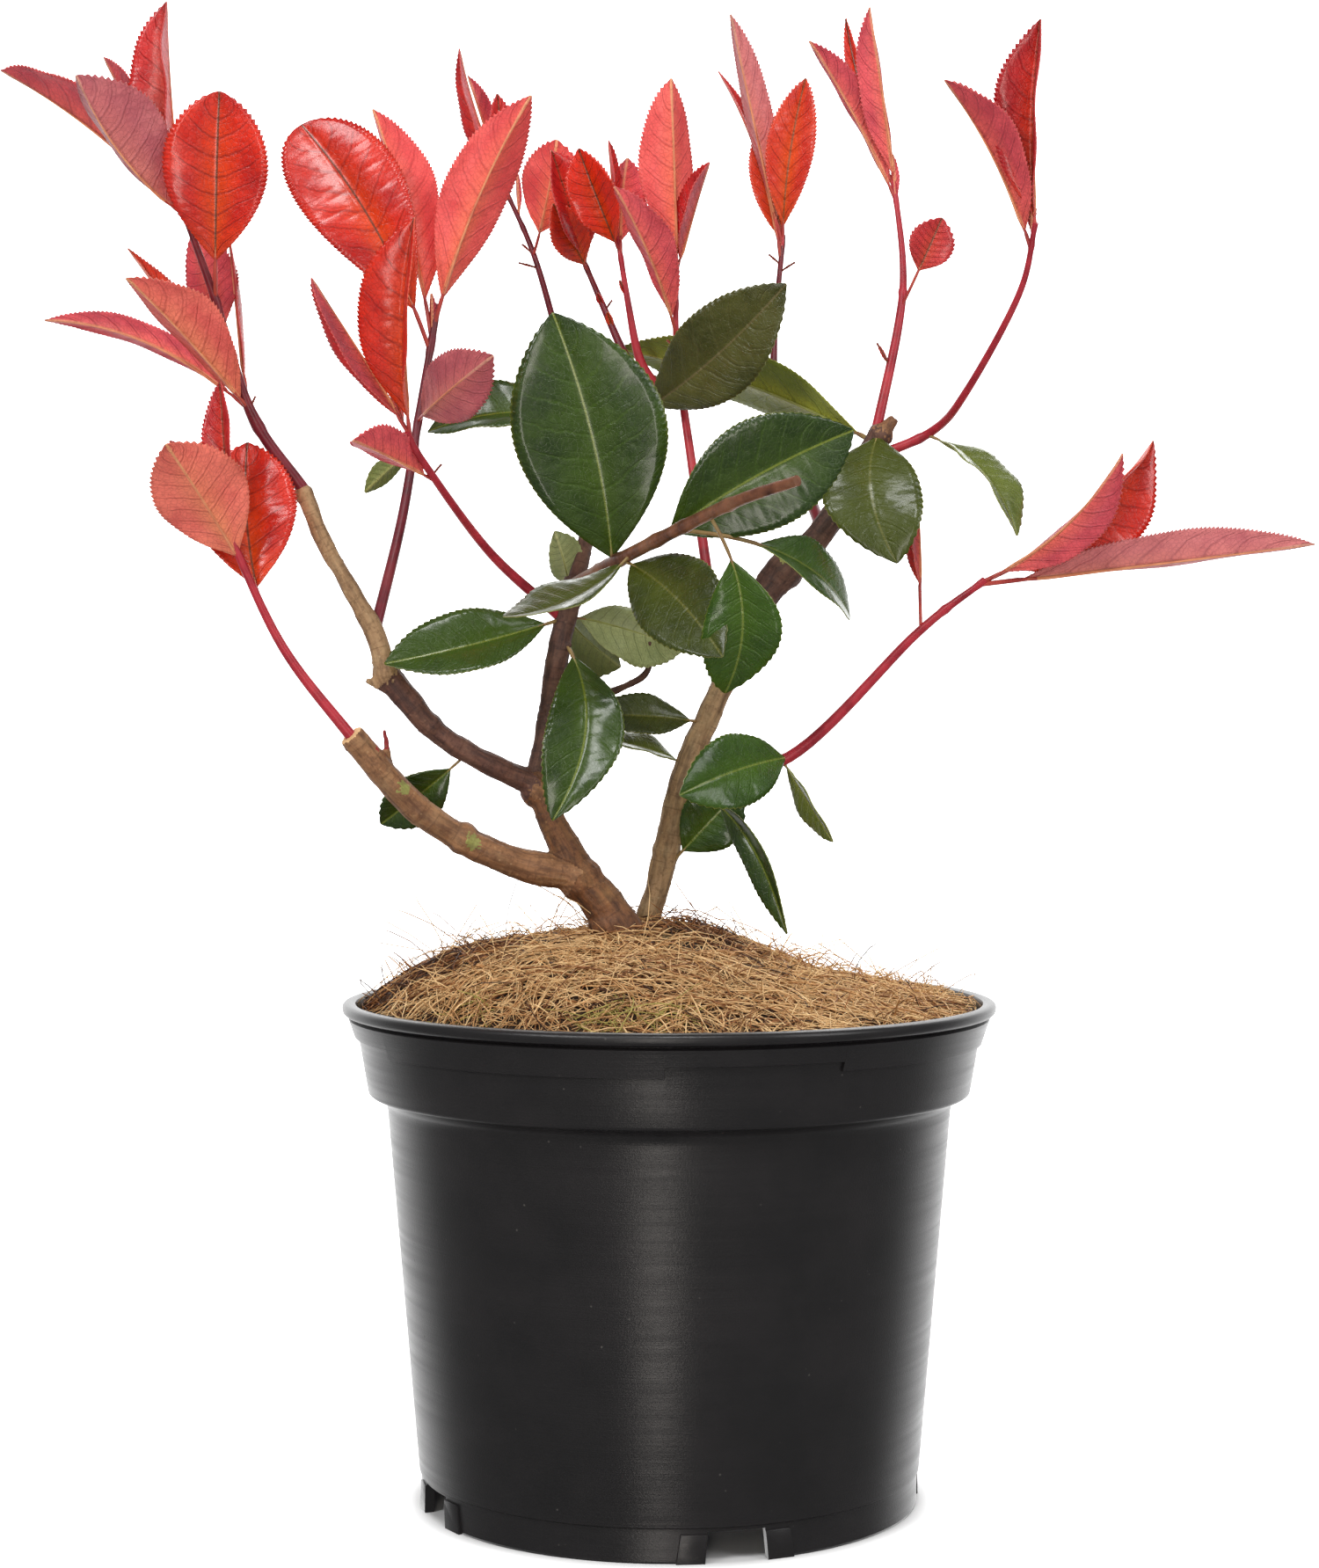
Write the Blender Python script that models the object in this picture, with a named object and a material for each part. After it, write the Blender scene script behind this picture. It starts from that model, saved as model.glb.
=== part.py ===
"""A young red-leaved photinia in a black nursery pot, as an assembly of separate solids.

Blender works in metres, and the tables below are in millimetres and degrees. +Z is up, +X is to the
right and +Y to the back. The origin is on the pot's axis, on the surface that the pot stands on.
"""

import math
import random
from collections import namedtuple

import bmesh
import bpy
from mathutils import Matrix, Vector
from mathutils.bvhtree import BVHTree

MM = 0.001
GAP = 0.3 * MM

# Pot
RIM_RADIUS = 115.0 * MM
RIM_HEIGHT = 176.5 * MM
BASE_RADIUS = 87.4 * MM
WALL = 1.8 * MM
WALL_TOP = 171.8 * MM
WALL_TOP_INSET = 3.2 * MM
WALL_LOW_INSET = 6.2 * MM
SKIRT_TOP = 162.0 * MM
SKIRT_BOTTOM = 144.7 * MM
FOOT_HEIGHT = 12.0 * MM
FOOT_INSET = 0.7 * MM
FLOOR_THICKNESS = 2.0 * MM
FLOOR_DISC_RADIUS = 57.0 * MM
FLOOR_DISC_HEIGHT = 1.6 * MM
POT_SEGMENTS = 36
NOTCH_HEADINGS = (-67.0, 14.5, 104.0, 194.5)
NOTCH_WIDTH = 19.5 * MM
BAND_PROUD = 0.9 * MM
# Each stretch of the band below the lip: from heading, to heading, height of its lower edge
BAND_STRETCHES = (
    (149.0, 211.0, 164.6), (211.0, 269.0, 161.4), (269.0, 300.5, 165.3), (300.5, 509.0, 162.2),
)

# Filling
MEDIUM_EDGE = 158.0 * MM
SOIL_LEVEL = 188.0 * MM
SOIL_FLAT_RADIUS = 34.0 * MM
SOIL_SLOPE_END = 62.0 * MM
SOIL_SHOULDER = 181.0 * MM
SOIL_EDGE_RADIUS = 103.7 * MM
MULCH_RADIUS = 106.4 * MM
MULCH_SEGMENTS = 22
MULCH_RINGS = (0.0, 0.25, 0.5, 0.72, 0.9, 1.0)
MULCH_EDGE_TOP = 173.0 * MM
MULCH_CROWN_TOP = 196.0 * MM
MULCH_CROWN = Vector((-40.0 * MM, -10.0 * MM, 0.0))
MULCH_FALL = 1.15
MULCH_HEAP = Vector((7.0 * MM, 10.0 * MM, 0.0))
MULCH_HEAP_RISE = 10.5 * MM
MULCH_HEAP_RADIUS = 35.0 * MM
STEM_CLEARANCE = 1.2 * MM

# Leaves
STEM_SIDES = 6
LEAF_THICKNESS_SHARE = 0.0115
LEAST_LEAF_THICKNESS = 0.75 * MM
PETIOLE_WIDTH = 1.5 * MM
LEAF_END_WIDTH = 0.7 * MM
WIDEST_AT = 0.53
OUTLINE_POWER = 1.0
BLADE_STATIONS = (0.18, 0.5, 0.82, 1.0)
TIP_LEAF_SEED = 7
TIP_LEAF_LENGTHS = (13.0, 21.0)

BARK = (0.16, 0.095, 0.06)
RED_STEM = (0.36, 0.07, 0.06)
GREEN = (0.03, 0.085, 0.025)
BLACK_PLASTIC = (0.018, 0.018, 0.018)

Limb = namedtuple("Limb", "name sides stations")
Leaf = namedtuple("Leaf", "at length heading rise width turn fold bow sway petiole", defaults=(0, 0, 0.1))
Mass = namedtuple("Mass", "name colour radii route tip_leaves leaves")

# Stations are (x, y, z, radius). Each limb starts inside the one that carries it, and is cut clear of it.
LIMBS = (
    Limb("trunk", 12, (
        (-15, -6, 189.2, 12), (-15, -6, 194, 10), (-17, -6, 200, 8.4), (-23, -6, 210, 7.4), (-33, -6, 222, 7),
    )),
    Limb("low_left_bough", 10, (
        (-32, -6, 221, 6.6), (-50, -9, 224, 5.7), (-69, -14, 232, 5.1), (-89, -21, 246, 5),
        (-109, -32, 270, 4.6),
    )),
    Limb("fork_stem", 10, (
        (-28, -6, 217, 6), (-37, -5, 231, 5.5), (-43, -4, 244, 4.9), (-46, -3, 256, 5.2),
    )),
    Limb("middle_bough", 8, (
        (-46, -3, 254, 4.6), (-44, -1, 267, 3.9), (-42, 0, 281, 3.8), (-38, -2, 304, 4), (-33, -2, 325, 4.1),
    )),
    Limb("left_bough", 8, (
        (-43, -3, 251, 4.6), (-62, -7, 259, 4), (-80, -12, 270, 3.9), (-91, -16, 282, 4.6),
        (-99, -18, 293, 4.2),
    )),
    Limb("left_bough_top", 8, (
        (-98, -18, 291, 4.0), (-102, -18, 305, 3.5), (-109, -19, 318, 3.1), (-120, -20, 338, 2.8),
        (-126, -20, 354, 3.1),
    )),
    Limb("back_bough", 6, (
        (-33, -1, 322, 3.0), (-28, 18, 345, 2.7), (-20, 38, 370, 2.6), (-7, 60, 400, 2.8),
    )),
    Limb("right_stem", 8, (
        (-9, 14, 189, 7.5), (-9, 14, 198, 5.2), (-5, 12, 212, 4.3), (-1, 12, 228, 4.8), (5, 10, 254, 4.6),
        (13, 10, 274, 4.3), (22, 11, 294, 4.1),
    )),
    Limb("right_bough", 8, (
        (20, 11, 292, 4.1), (29, 12, 311, 4.5), (39, 13, 326, 6.2), (48, 13, 334, 5.2), (62, 11, 353, 4.5),
        (75, 9, 378, 3.8),
    )),
    Limb("bent_twig", 6, (
        (-44, 0, 277, 1.8), (-18, 12, 286, 1.4), (-8, 11, 292, 1.2), (-7, 8, 303, 1.0),
    )),
)

# Short dead stubs, each fused to a limb: the limb's name, the root, the end and the radii there
STUBS = (
    ("left_bough", (-89, -16, 281), (-105, -20, 289), 1.9, 1.2),
    ("low_left_bough", (-96, -23, 255), (-98, -28, 272), 1.6, 0.9),
)

# A route is (x, y, z) from base to tip, and radii are at its two ends. A leaf says how far along the
# route it grows (0 to 1), its length, the heading and rise of its tip (0 is right, 90 is back), its
# width, how far its upper face is turned from the front, the fold of each half about the midrib, then
# the bow of the midrib towards its face and to its side, and the petiole, as shares of the length.
MASSES = (
    Mass(
        "far_left_shoot", RED_STEM, (2.4, 0.9),
        ((-126, -20, 354), (-144, -23, 381), (-156, -29, 421), (-168, -36, 456)), 1,
        (
            Leaf(0.91, 84, 169, 38, 32, 80, 40, 0.045),
            Leaf(0.91, 59, -139, 45, 38, 138, 42, -0.10),
            Leaf(0.95, 67, -128, 85, 27, -46, 45, 0.02),
            Leaf(0.93, 72, 137, 53, 18, 100, 30),
            Leaf(0.64, 71, -78, 70, 36, 0, 10, 0.04, 0, 0.2),
            Leaf(0.50, 51, 124, 55, 22, 160, 20, 0, 0, 0.15),
            Leaf(0.32, 59, 126, 78, 9, 90, 14, 0, 0, 0.15),
            Leaf(0.29, 63, -144, 42, 28, 140, 36, 0, -0.03),
            Leaf(0.29, 82, 169, 24, 13, 140, 35, 0.02, -0.10),
            Leaf(0.27, 84, 149, 48, 13, 60, 35),
        ),
    ),
    Mass(
        "low_left_shoot", RED_STEM, (2.1, 0.8),
        ((-107, -31, 267), (-132, -33, 300), (-149, -41, 338), (-156, -44, 354)), 1,
        (
            Leaf(0.57, 59, 112, 73, 36, 6, 14, 0.02, -0.04),
            Leaf(0.70, 52, -134, 51, 33, 172, 14, 0.04),
            Leaf(0.82, 53, 128, 83, 15, -30, 35),
            Leaf(0.94, 26, -147, 51, 10, 60, 25),
        ),
    ),
    Mass(
        "left_shoot", RED_STEM, (2.1, 1.2),
        ((-102, -18, 306), (-94, 0, 346), (-89, 14, 384), (-83, 24, 424)), 1,
        (
            Leaf(0.86, 95, 170, 60, 39, 0, 12, 0.05, 0.05, 0.16),
            Leaf(0.89, 97, 127, 66, 27, 142, 40, 0, -0.035, 0.16),
            Leaf(0.93, 89, -13, 66, 27, 205, 25, 0.03, 0.03, 0.12),
            Leaf(0.65, 54, -55, 20, 24, 182, 10, -0.10, 0, 0.12),
            Leaf(0.56, 23, 174, -40, 9, 150, 20, 0.08),
        ),
    ),
    Mass(
        "front_left_shoot", RED_STEM, (2.0, 0.9),
        ((-38, -2, 311), (-62, -22, 333), (-82, -54, 361), (-87, -62, 371)), 0,
        (
            Leaf(1.00, 59, -152, 55, 17, -80, 40),
            Leaf(0.99, 37, -177, 67, 10, 60, 30),
            Leaf(0.97, 75, -83, 65, 31, -42, 40, 0.05),
            Leaf(0.76, 42, -129, 16, 19, 140, 38, 0.03, 0, 0.15),
        ),
    ),
    Mass(
        "back_left_shoot", RED_STEM, (1.9, 0.8),
        ((-24, 28, 357), (-34, 62, 389), (-50, 92, 448), (-63, 100, 479)), 1,
        (
            Leaf(0.95, 62, -173, 71, 14, -70, 35, 0.04),
            Leaf(0.97, 53, 142, 67, 12, 120, 35),
            Leaf(0.98, 38, -160, 84, 12, 20, 25),
            Leaf(0.80, 45, -61, 64, 28, 170, 25, -0.12, -0.05, 0.22),
        ),
    ),
    Mass(
        "back_shoot", RED_STEM, (2.1, 0.9),
        ((-10, 59, 397), (-17, 67, 412), (-25, 74, 431), (-33, 80, 450)), 1,
        (
            Leaf(0.91, 47, -120, 58, 26, 30, 38, 0.02),
            Leaf(0.93, 46, 100, 70, 14, -60, 40),
            Leaf(0.88, 32, -123, 44, 16, 15, 12),
        ),
    ),
    Mass(
        "upright_shoot", RED_STEM, (2.1, 0.8),
        ((-5, 57, 398), (-11, 57, 409), (-15, 58, 429), (-19, 60, 454)), 1,
        (
            Leaf(0.89, 41, -147, 64, 22, -20, 30, 0.03),
            Leaf(0.93, 41, 123, 80, 10, 70, 30),
            Leaf(0.85, 41, 79, 73, 18, 168, 25, -0.1, 0, 0.15),
        ),
    ),
    Mass(
        "tall_middle_shoot", RED_STEM, (2.2, 0.8),
        ((19, 11, 289), (9, 40, 364), (3, 48, 410), (3, 50, 443)), 1,
        (
            Leaf(0.99, 68, -117, 86, 26, 208, 30, 0, 0, 0.05),
            Leaf(0.98, 41, -40, 68, 17, -72, 40, 0, -0.03),
            Leaf(0.83, 60, -135, 58, 21, 140, 38, 0, -0.05, 0.12),
        ),
    ),
    Mass(
        "tall_right_shoot", RED_STEM, (2.2, 0.9),
        ((55, 13, 341), (42, 70, 389), (40, 84, 416), (44, 97, 460)), 1,
        (
            Leaf(0.97, 89, -158, 76, 16, 142, 36),
            Leaf(0.93, 81, 144, 69, 10, 60, 30, 0.06),
            Leaf(0.96, 48, 139, 75, 14, 0, 24),
            Leaf(0.98, 62, -45, 79, 21, -4, 30, 0.02, -0.03),
        ),
    ),
    Mass(
        "slim_right_shoot", RED_STEM, (2.0, 0.9),
        ((73, 10, 375), (82, 18, 416), (84, 24, 439), (81, 30, 470)), 1,
        (
            Leaf(0.91, 65, -168, 60, 17, 135, 45, 0.07, 0.02),
            Leaf(0.98, 63, -149, 80, 16, 220, 40, 0, 0, 0.05),
            Leaf(0.96, 68, 140, 71, 8, -30, 30, 0, -0.03),
            Leaf(0.50, 35, -36, 61, 17, 8, 15, 0.03, 0, 0.42),
        ),
    ),
    Mass(
        "far_right_shoot", RED_STEM, (1.9, 0.9),
        ((72, 11, 368), (93, 4, 377), (103, -16, 389), (118, -42, 419), (122, -54, 441)), 1,
        (
            Leaf(0.92, 63, -166, 61, 28, 80, 50, 0.05),
            Leaf(0.99, 67, -90, 79, 27, -46, 45, 0, -0.03, 0.04),
            Leaf(0.18, 51, -31, -46, 24, -60, 18, 0.13),
        ),
    ),
    Mass(
        "low_right_shoot", RED_STEM, (2.5, 1.2),
        ((7, 10, 260), (42, -5, 262), (88, 3, 306), (112, 8, 324.5)), 0,
        (
            Leaf(0.98, 124, 7, 7, 22, 222, 42, 0, 0, 0.12),
            Leaf(0.99, 84, 16, 38, 38, 40, 44, 0.05, 0.05, 0.14),
            Leaf(1.00, 66, -23, 41, 22, 136, 45, 0.06, -0.06),
            Leaf(0.78, 54, 94, 80, 14, -80, 40, 0, 0, 0.3),
            Leaf(0.29, 51, -141, -14, 26, 4, 8, 0.05, 0.03, 0.03),
            Leaf(0.27, 36, -39, -52, 13, 62, 20),
        ),
    ),
    Mass(
        "cut_shoot", BARK, (2.6, 1.8),
        ((-34, -3, 322), (-15, -32, 331), (19, -88, 345), (40, -112, 351)), 0,
        (
            Leaf(0.20, 88, -137, 72, 53, -3, 8, 0.05, 0.04, 0.02),
            Leaf(0.45, 73, -4, 29, 38, 10, 10, 0.04, -0.04, 0.04),
            Leaf(0.24, 66, -53, -31, 31, 0, 8, 0.06, -0.05),
            Leaf(0.67, 62, 74, -70, 27, 8, 10, 0.06, -0.14, 0.24),
            Leaf(0.52, 82, 38, -20, 22, -42, 16, 0.16, 0, 0.32),
            Leaf(0.30, 50, -165, -26, 28, 66, 10, -0.10),
        ),
    ),
)

# Leaves that grow straight on a limb: name, the limb that carries it, and the leaf
SINGLE_LEAVES = (
    ("upper_green_leaf", "back_bough", Leaf(0.82, 83, -40, 31, 33, 0, 12, 0.05, 0.04, 0.12)),
    ("behind_left_leaf", "back_bough", Leaf(0.75, 73, 179, 0, 26, 45, 22, 0.13, 0, 0.25)),
    ("long_yellow_leaf", "right_bough", Leaf(0.95, 119, 145, 20, 29, 128, 12, 0.05, 0, 0.06)),
    ("node_leaf", "right_bough", Leaf(1.00, 54, -80, -64, 35, 0, 6, 0.10, 0.12, 0.06)),
    ("left_green_leaf", "middle_bough", Leaf(0.80, 68, -159, -14, 26, 28, 16, 0.05, -0.045, 0.12)),
    ("hanging_leaf", "middle_bough", Leaf(0.71, 69, -95, -68, 28, 2, 12, 0.08, -0.15, 0.12)),
    ("small_pale_leaf", "middle_bough", Leaf(0.91, 29, 111, 54, 15, 150, 12, 0.05, 0, 0.2)),
    ("pale_leaf_right", "middle_bough", Leaf(0.81, 46, 23, -15, 24, 146, 12, -0.05, 0, 0.1)),
    ("pale_leaf_low", "middle_bough", Leaf(0.80, 34, 50, -30, 22, 150, 12, 0.05, 0, 0.1)),
    ("inner_leaf_upper", "right_stem", Leaf(0.80, 42, -158, 4, 17, 30, 12, 0.05, 0, 0.15)),
    ("inner_leaf_lower", "right_stem", Leaf(0.65, 31, -165, 18, 16, 66, 15, 0.05, 0, 0.15)),
    ("base_leaf", "right_stem", Leaf(0.29, 42, -16, 46, 23, 0, 8, 0.04, 0, 0.28)),
    ("low_hanging_leaf", "right_stem", Leaf(0.59, 73, -47, -44, 13, 40, 20, 0.06, -0.19, 0.3)),
    ("shaded_left_leaf", "left_bough", Leaf(0.42, 41, 166, -38, 20, -20, 14, 0.05, 0, 0.2)),
)


def clear_scene():
    for thing in list(bpy.data.objects):
        bpy.data.objects.remove(thing, do_unlink=True)


def make_material(name, colour, roughness):
    material = bpy.data.materials.new(name)
    material.use_nodes = True
    shader = material.node_tree.nodes["Principled BSDF"]
    shader.inputs["Base Color"].default_value = (*colour, 1.0)
    shader.inputs["Roughness"].default_value = roughness
    shader.inputs["Metallic"].default_value = 0.0
    return material


def make_object(name, mesh_data, colour, roughness=0.6):
    """Links a mesh as one named part with a material of its own."""
    if isinstance(mesh_data, bmesh.types.BMesh):
        mesh = bpy.data.meshes.new(name)
        mesh_data.to_mesh(mesh)
        mesh_data.free()
    else:
        mesh = mesh_data
    mesh.name = name
    mesh.materials.clear()
    mesh.materials.append(make_material(name + "_finish", colour, roughness))
    thing = bpy.data.objects.new(name, mesh)
    bpy.context.scene.collection.objects.link(thing)
    return thing


def evaluated_mesh(thing):
    """The object's mesh with its curve bevel or modifiers applied, and close points merged."""
    depsgraph = bpy.context.evaluated_depsgraph_get()
    mesh = bpy.data.meshes.new_from_object(thing.evaluated_get(depsgraph))
    bm = bmesh.new()
    bm.from_mesh(mesh)
    bmesh.ops.remove_doubles(bm, verts=bm.verts, dist=0.002 * MM)
    bm.to_mesh(mesh)
    bm.free()
    return mesh


def replace_mesh(thing, mesh):
    old_mesh = thing.data
    materials = list(old_mesh.materials)
    thing.modifiers.clear()
    thing.data = mesh
    mesh.materials.clear()
    for material in materials:
        mesh.materials.append(material)


def keep_largest_piece(mesh):
    """Drops loose scraps and the inner skins of sealed hollows, which fills them."""
    bm = bmesh.new()
    bm.from_mesh(mesh)
    unseen = set(bm.verts)
    pieces = []
    while unseen:
        edge_of_search = [unseen.pop()]
        piece = set(edge_of_search)
        while edge_of_search:
            vert = edge_of_search.pop()
            linked = {edge.other_vert(vert) for edge in vert.link_edges} & unseen
            unseen -= linked
            piece |= linked
            edge_of_search.extend(linked)
        pieces.append(piece)
    pieces.sort(key=piece_span)
    scraps = [vert for piece in pieces[:-1] for vert in piece]
    bmesh.ops.delete(bm, geom=scraps, context="VERTS")
    bmesh.ops.triangulate(bm, faces=bm.faces)
    bm.to_mesh(mesh)
    bm.free()
    return mesh


def piece_span(piece):
    spans = [max(vert.co[axis] for vert in piece) - min(vert.co[axis] for vert in piece) for axis in range(3)]
    return math.hypot(*spans)


def boolean(thing, operation, other=None, collection=None, solver="EXACT"):
    """Applies one Boolean to the object's mesh."""
    modifier = thing.modifiers.new(operation.lower(), "BOOLEAN")
    modifier.operation = operation
    modifier.solver = solver
    if collection:
        modifier.operand_type = "COLLECTION"
        modifier.collection = collection
    else:
        modifier.object = other
    replace_mesh(thing, evaluated_mesh(thing))


def shade_by_angle(thing, degrees=40.0):
    thing.data.shade_smooth()
    thing.data.set_sharp_from_angle(angle=math.radians(degrees))


def smooth_route(points, steps):
    """Points on a smooth curve through the given ones, which may carry a radius as a fourth number."""
    points = [Vector(point) for point in points]
    ends = [2 * points[0] - points[1]] + points + [2 * points[-1] - points[-2]]
    curve = []
    for before, start, end, after in zip(ends, ends[1:], ends[2:], ends[3:]):
        for step in range(steps):
            t = step / steps
            curve.append(
                start
                + 0.5 * t * (end - before)
                + t * t * (before - 2.5 * start + 2 * end - 0.5 * after)
                + 0.5 * t ** 3 * (3 * start - 3 * end + after - before)
            )
    curve.append(points[-1])
    return curve


def point_on(curve, share):
    """The place at this share of the curve's length."""
    lengths = [(b - a).length for a, b in zip(curve, curve[1:])]
    left = share * sum(lengths)
    for start, end, length in zip(curve, curve[1:], lengths):
        if left <= length:
            return start.lerp(end, left / length)
        left -= length
    return curve[-1].copy()


def tube_mesh(centres, radii, sides):
    """A tapering tube of this many sides, closed at both ends."""
    curve = bpy.data.curves.new("tube", "CURVE")
    curve.dimensions = "3D"
    curve.bevel_depth = 1.0
    curve.bevel_resolution = (sides - 4) // 2
    curve.use_fill_caps = True
    spline = curve.splines.new("POLY")
    spline.points.add(len(centres) - 1)
    for point, centre, radius in zip(spline.points, centres, radii):
        point.co = (*centre, 1.0)
        point.radius = radius
    thing = bpy.data.objects.new("tube", curve)
    bpy.context.scene.collection.objects.link(thing)
    mesh = evaluated_mesh(thing)
    bpy.data.objects.remove(thing)
    return mesh


def fattened_cutter(centres, radii, sides):
    """A tube wider and longer than a limb by the gap, to cut its neighbours clear of it."""
    first = centres[0] + (centres[0] - centres[1]).normalized() * GAP
    last = centres[-1] + (centres[-1] - centres[-2]).normalized() * GAP
    mesh = tube_mesh([first, *centres[1:-1], last], [radius + GAP for radius in radii], sides)
    cutter = bpy.data.objects.new("cutter", mesh)
    cutter.hide_render = True
    cutter.display_type = "WIRE"
    bpy.context.scene.collection.objects.link(cutter)
    return cutter


def tree_of(thing):
    bm = bmesh.new()
    bm.from_mesh(thing.data)
    tree = BVHTree.FromBMesh(bm)
    bm.free()
    return tree


def cut_clear(thing, cutters):
    """Cuts the object clear of every limb that it grows from or beside, and keeps the part outside."""
    for cutter in cutters:
        if tree_of(thing).overlap(tree_of(cutter)):
            boolean(thing, "DIFFERENCE", other=cutter)
            replace_mesh(thing, keep_largest_piece(thing.data.copy()))


def leaf_axes(leaf):
    """The leaf's directions along its midrib, across its blade and out of its upper face."""
    heading = math.radians(leaf.heading)
    rise = math.radians(leaf.rise)
    along = Vector((math.cos(rise) * math.cos(heading), math.cos(rise) * math.sin(heading), math.sin(rise)))
    front = Vector((0.0, -1.0, 0.0))
    front = (front - along * along.dot(front)).normalized()
    turn = math.radians(leaf.turn)
    face = front * math.cos(turn) + along.cross(front) * math.sin(turn)
    return along, along.cross(face), face


def blade_half_width(leaf, share):
    """Half the blade's width at this share of the blade's own length."""
    end_power = OUTLINE_POWER * (1 - WIDEST_AT) / WIDEST_AT
    full = leaf.width * MM / 2
    shape = (share / WIDEST_AT) ** OUTLINE_POWER * ((1 - share) / (1 - WIDEST_AT)) ** end_power
    return max(full * shape, LEAF_END_WIDTH / 2)


def leaf_solid(leaf, base):
    """A leaf as a folded, bowed sheet with thickness, its root at the base point."""
    along, across, face = leaf_axes(leaf)
    length = leaf.length * MM
    stations = [0.0, leaf.petiole] + [leaf.petiole + (1 - leaf.petiole) * share for share in BLADE_STATIONS]
    half_widths = [PETIOLE_WIDTH / 2] * 2 + [blade_half_width(leaf, share) for share in BLADE_STATIONS]
    fold = math.radians(leaf.fold)
    bm = bmesh.new()
    bmesh.ops.create_grid(bm, x_segments=len(stations) - 1, y_segments=2, size=0.5)
    for vert in bm.verts:
        station = round((vert.co.x + 0.5) * (len(stations) - 1))
        side = round(vert.co.y * 2)
        share = stations[station]
        arch = 4 * share * (1 - share) * length
        half_fold = fold if station > 1 else 0.0
        edge = across * side * math.cos(half_fold) + face * abs(side) * math.sin(half_fold)
        middle = base + along * length * share + face * leaf.bow * arch + across * leaf.sway * arch
        vert.co = middle + edge * half_widths[station]
    bmesh.ops.recalc_face_normals(bm, faces=bm.faces)
    top = bm.faces[:]
    if sum((polygon.normal * polygon.calc_area() for polygon in top), Vector()).dot(face) < 0:
        bmesh.ops.reverse_faces(bm, faces=top)
    thickness = max(LEAST_LEAF_THICKNESS, LEAF_THICKNESS_SHARE * length)
    bmesh.ops.solidify(bm, geom=top, thickness=thickness)
    bmesh.ops.recalc_face_normals(bm, faces=bm.faces)
    return bm


def tip_leaves(mass, count, chance):
    """Small leaves still opening round a shoot's tip, towards its back, by a seeded rule."""
    for number in range(count):
        yield Leaf(
            at=chance.uniform(0.90, 0.98),
            length=chance.uniform(*TIP_LEAF_LENGTHS),
            heading=chance.uniform(95, 130) + number * 30,
            rise=chance.uniform(76, 86),
            width=chance.uniform(2.8, 4.2),
            turn=chance.uniform(120, 220),
            fold=chance.uniform(34, 46),
        )


def build_pot():
    """The pot is one turned shell with a rolled lip, a skirt and a foot ring with drainage notches."""
    body_top = BASE_RADIUS + 12.0 * MM
    ledge = SKIRT_BOTTOM - 3.5 * MM
    inner_floor = FOOT_HEIGHT + FLOOR_THICKNESS
    outer = [
        (RIM_RADIUS - 3.6 * MM, RIM_HEIGHT),
        (RIM_RADIUS - 0.8 * MM, RIM_HEIGHT - 0.5 * MM),
        (RIM_RADIUS, RIM_HEIGHT - 1.8 * MM),
        (RIM_RADIUS - 0.4 * MM, RIM_HEIGHT - 3.4 * MM),
        (RIM_RADIUS - 1.6 * MM, RIM_HEIGHT - 4.2 * MM),
        (RIM_RADIUS - WALL_TOP_INSET, WALL_TOP),
        (RIM_RADIUS - WALL_LOW_INSET, SKIRT_TOP),
        (RIM_RADIUS - 9.1 * MM, SKIRT_BOTTOM),
        (RIM_RADIUS - 11.0 * MM, SKIRT_BOTTOM - 0.8 * MM),
        (body_top, ledge),
        (BASE_RADIUS + 0.9 * MM, FOOT_HEIGHT),
        (BASE_RADIUS + 0.9 * MM - FOOT_INSET, FOOT_HEIGHT - 0.4 * MM),
        (BASE_RADIUS, 0.0),
    ]
    inner = [
        (BASE_RADIUS - 2.6 * MM, 0.0),
        (BASE_RADIUS - 2.6 * MM, FOOT_HEIGHT),
        (FLOOR_DISC_RADIUS, FOOT_HEIGHT),
        (FLOOR_DISC_RADIUS - 1.5 * MM, FLOOR_DISC_HEIGHT),
        (0.0, FLOOR_DISC_HEIGHT),
        (0.0, FLOOR_DISC_HEIGHT + FLOOR_THICKNESS),
        (FLOOR_DISC_RADIUS - 4.0 * MM, FLOOR_DISC_HEIGHT + FLOOR_THICKNESS),
        (FLOOR_DISC_RADIUS - 2.5 * MM, inner_floor),
        (BASE_RADIUS - WALL, inner_floor),
        (body_top - WALL, ledge + WALL),
        (RIM_RADIUS - 9.3 * MM - WALL, SKIRT_BOTTOM + 1.2 * MM),
        (RIM_RADIUS - WALL_LOW_INSET - WALL, SKIRT_TOP),
        (RIM_RADIUS - 5.4 * MM, RIM_HEIGHT - 3.0 * MM),
        (RIM_RADIUS - 4.8 * MM, RIM_HEIGHT - 0.8 * MM),
    ]
    pot = make_object("pot", turned(outer + inner, POT_SEGMENTS), BLACK_PLASTIC, 0.35)
    for start, end, lower_edge in BAND_STRETCHES:
        band = make_object("band", band_stretch(start, end, lower_edge * MM), BLACK_PLASTIC)
        boolean(pot, "UNION", other=band)
        bpy.data.objects.remove(band)
    for heading in NOTCH_HEADINGS:
        cutter = notch_cutter(heading)
        boolean(pot, "DIFFERENCE", other=cutter)
        bpy.data.objects.remove(cutter)
    replace_mesh(pot, keep_largest_piece(pot.data.copy()))
    shade_by_angle(pot)


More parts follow.
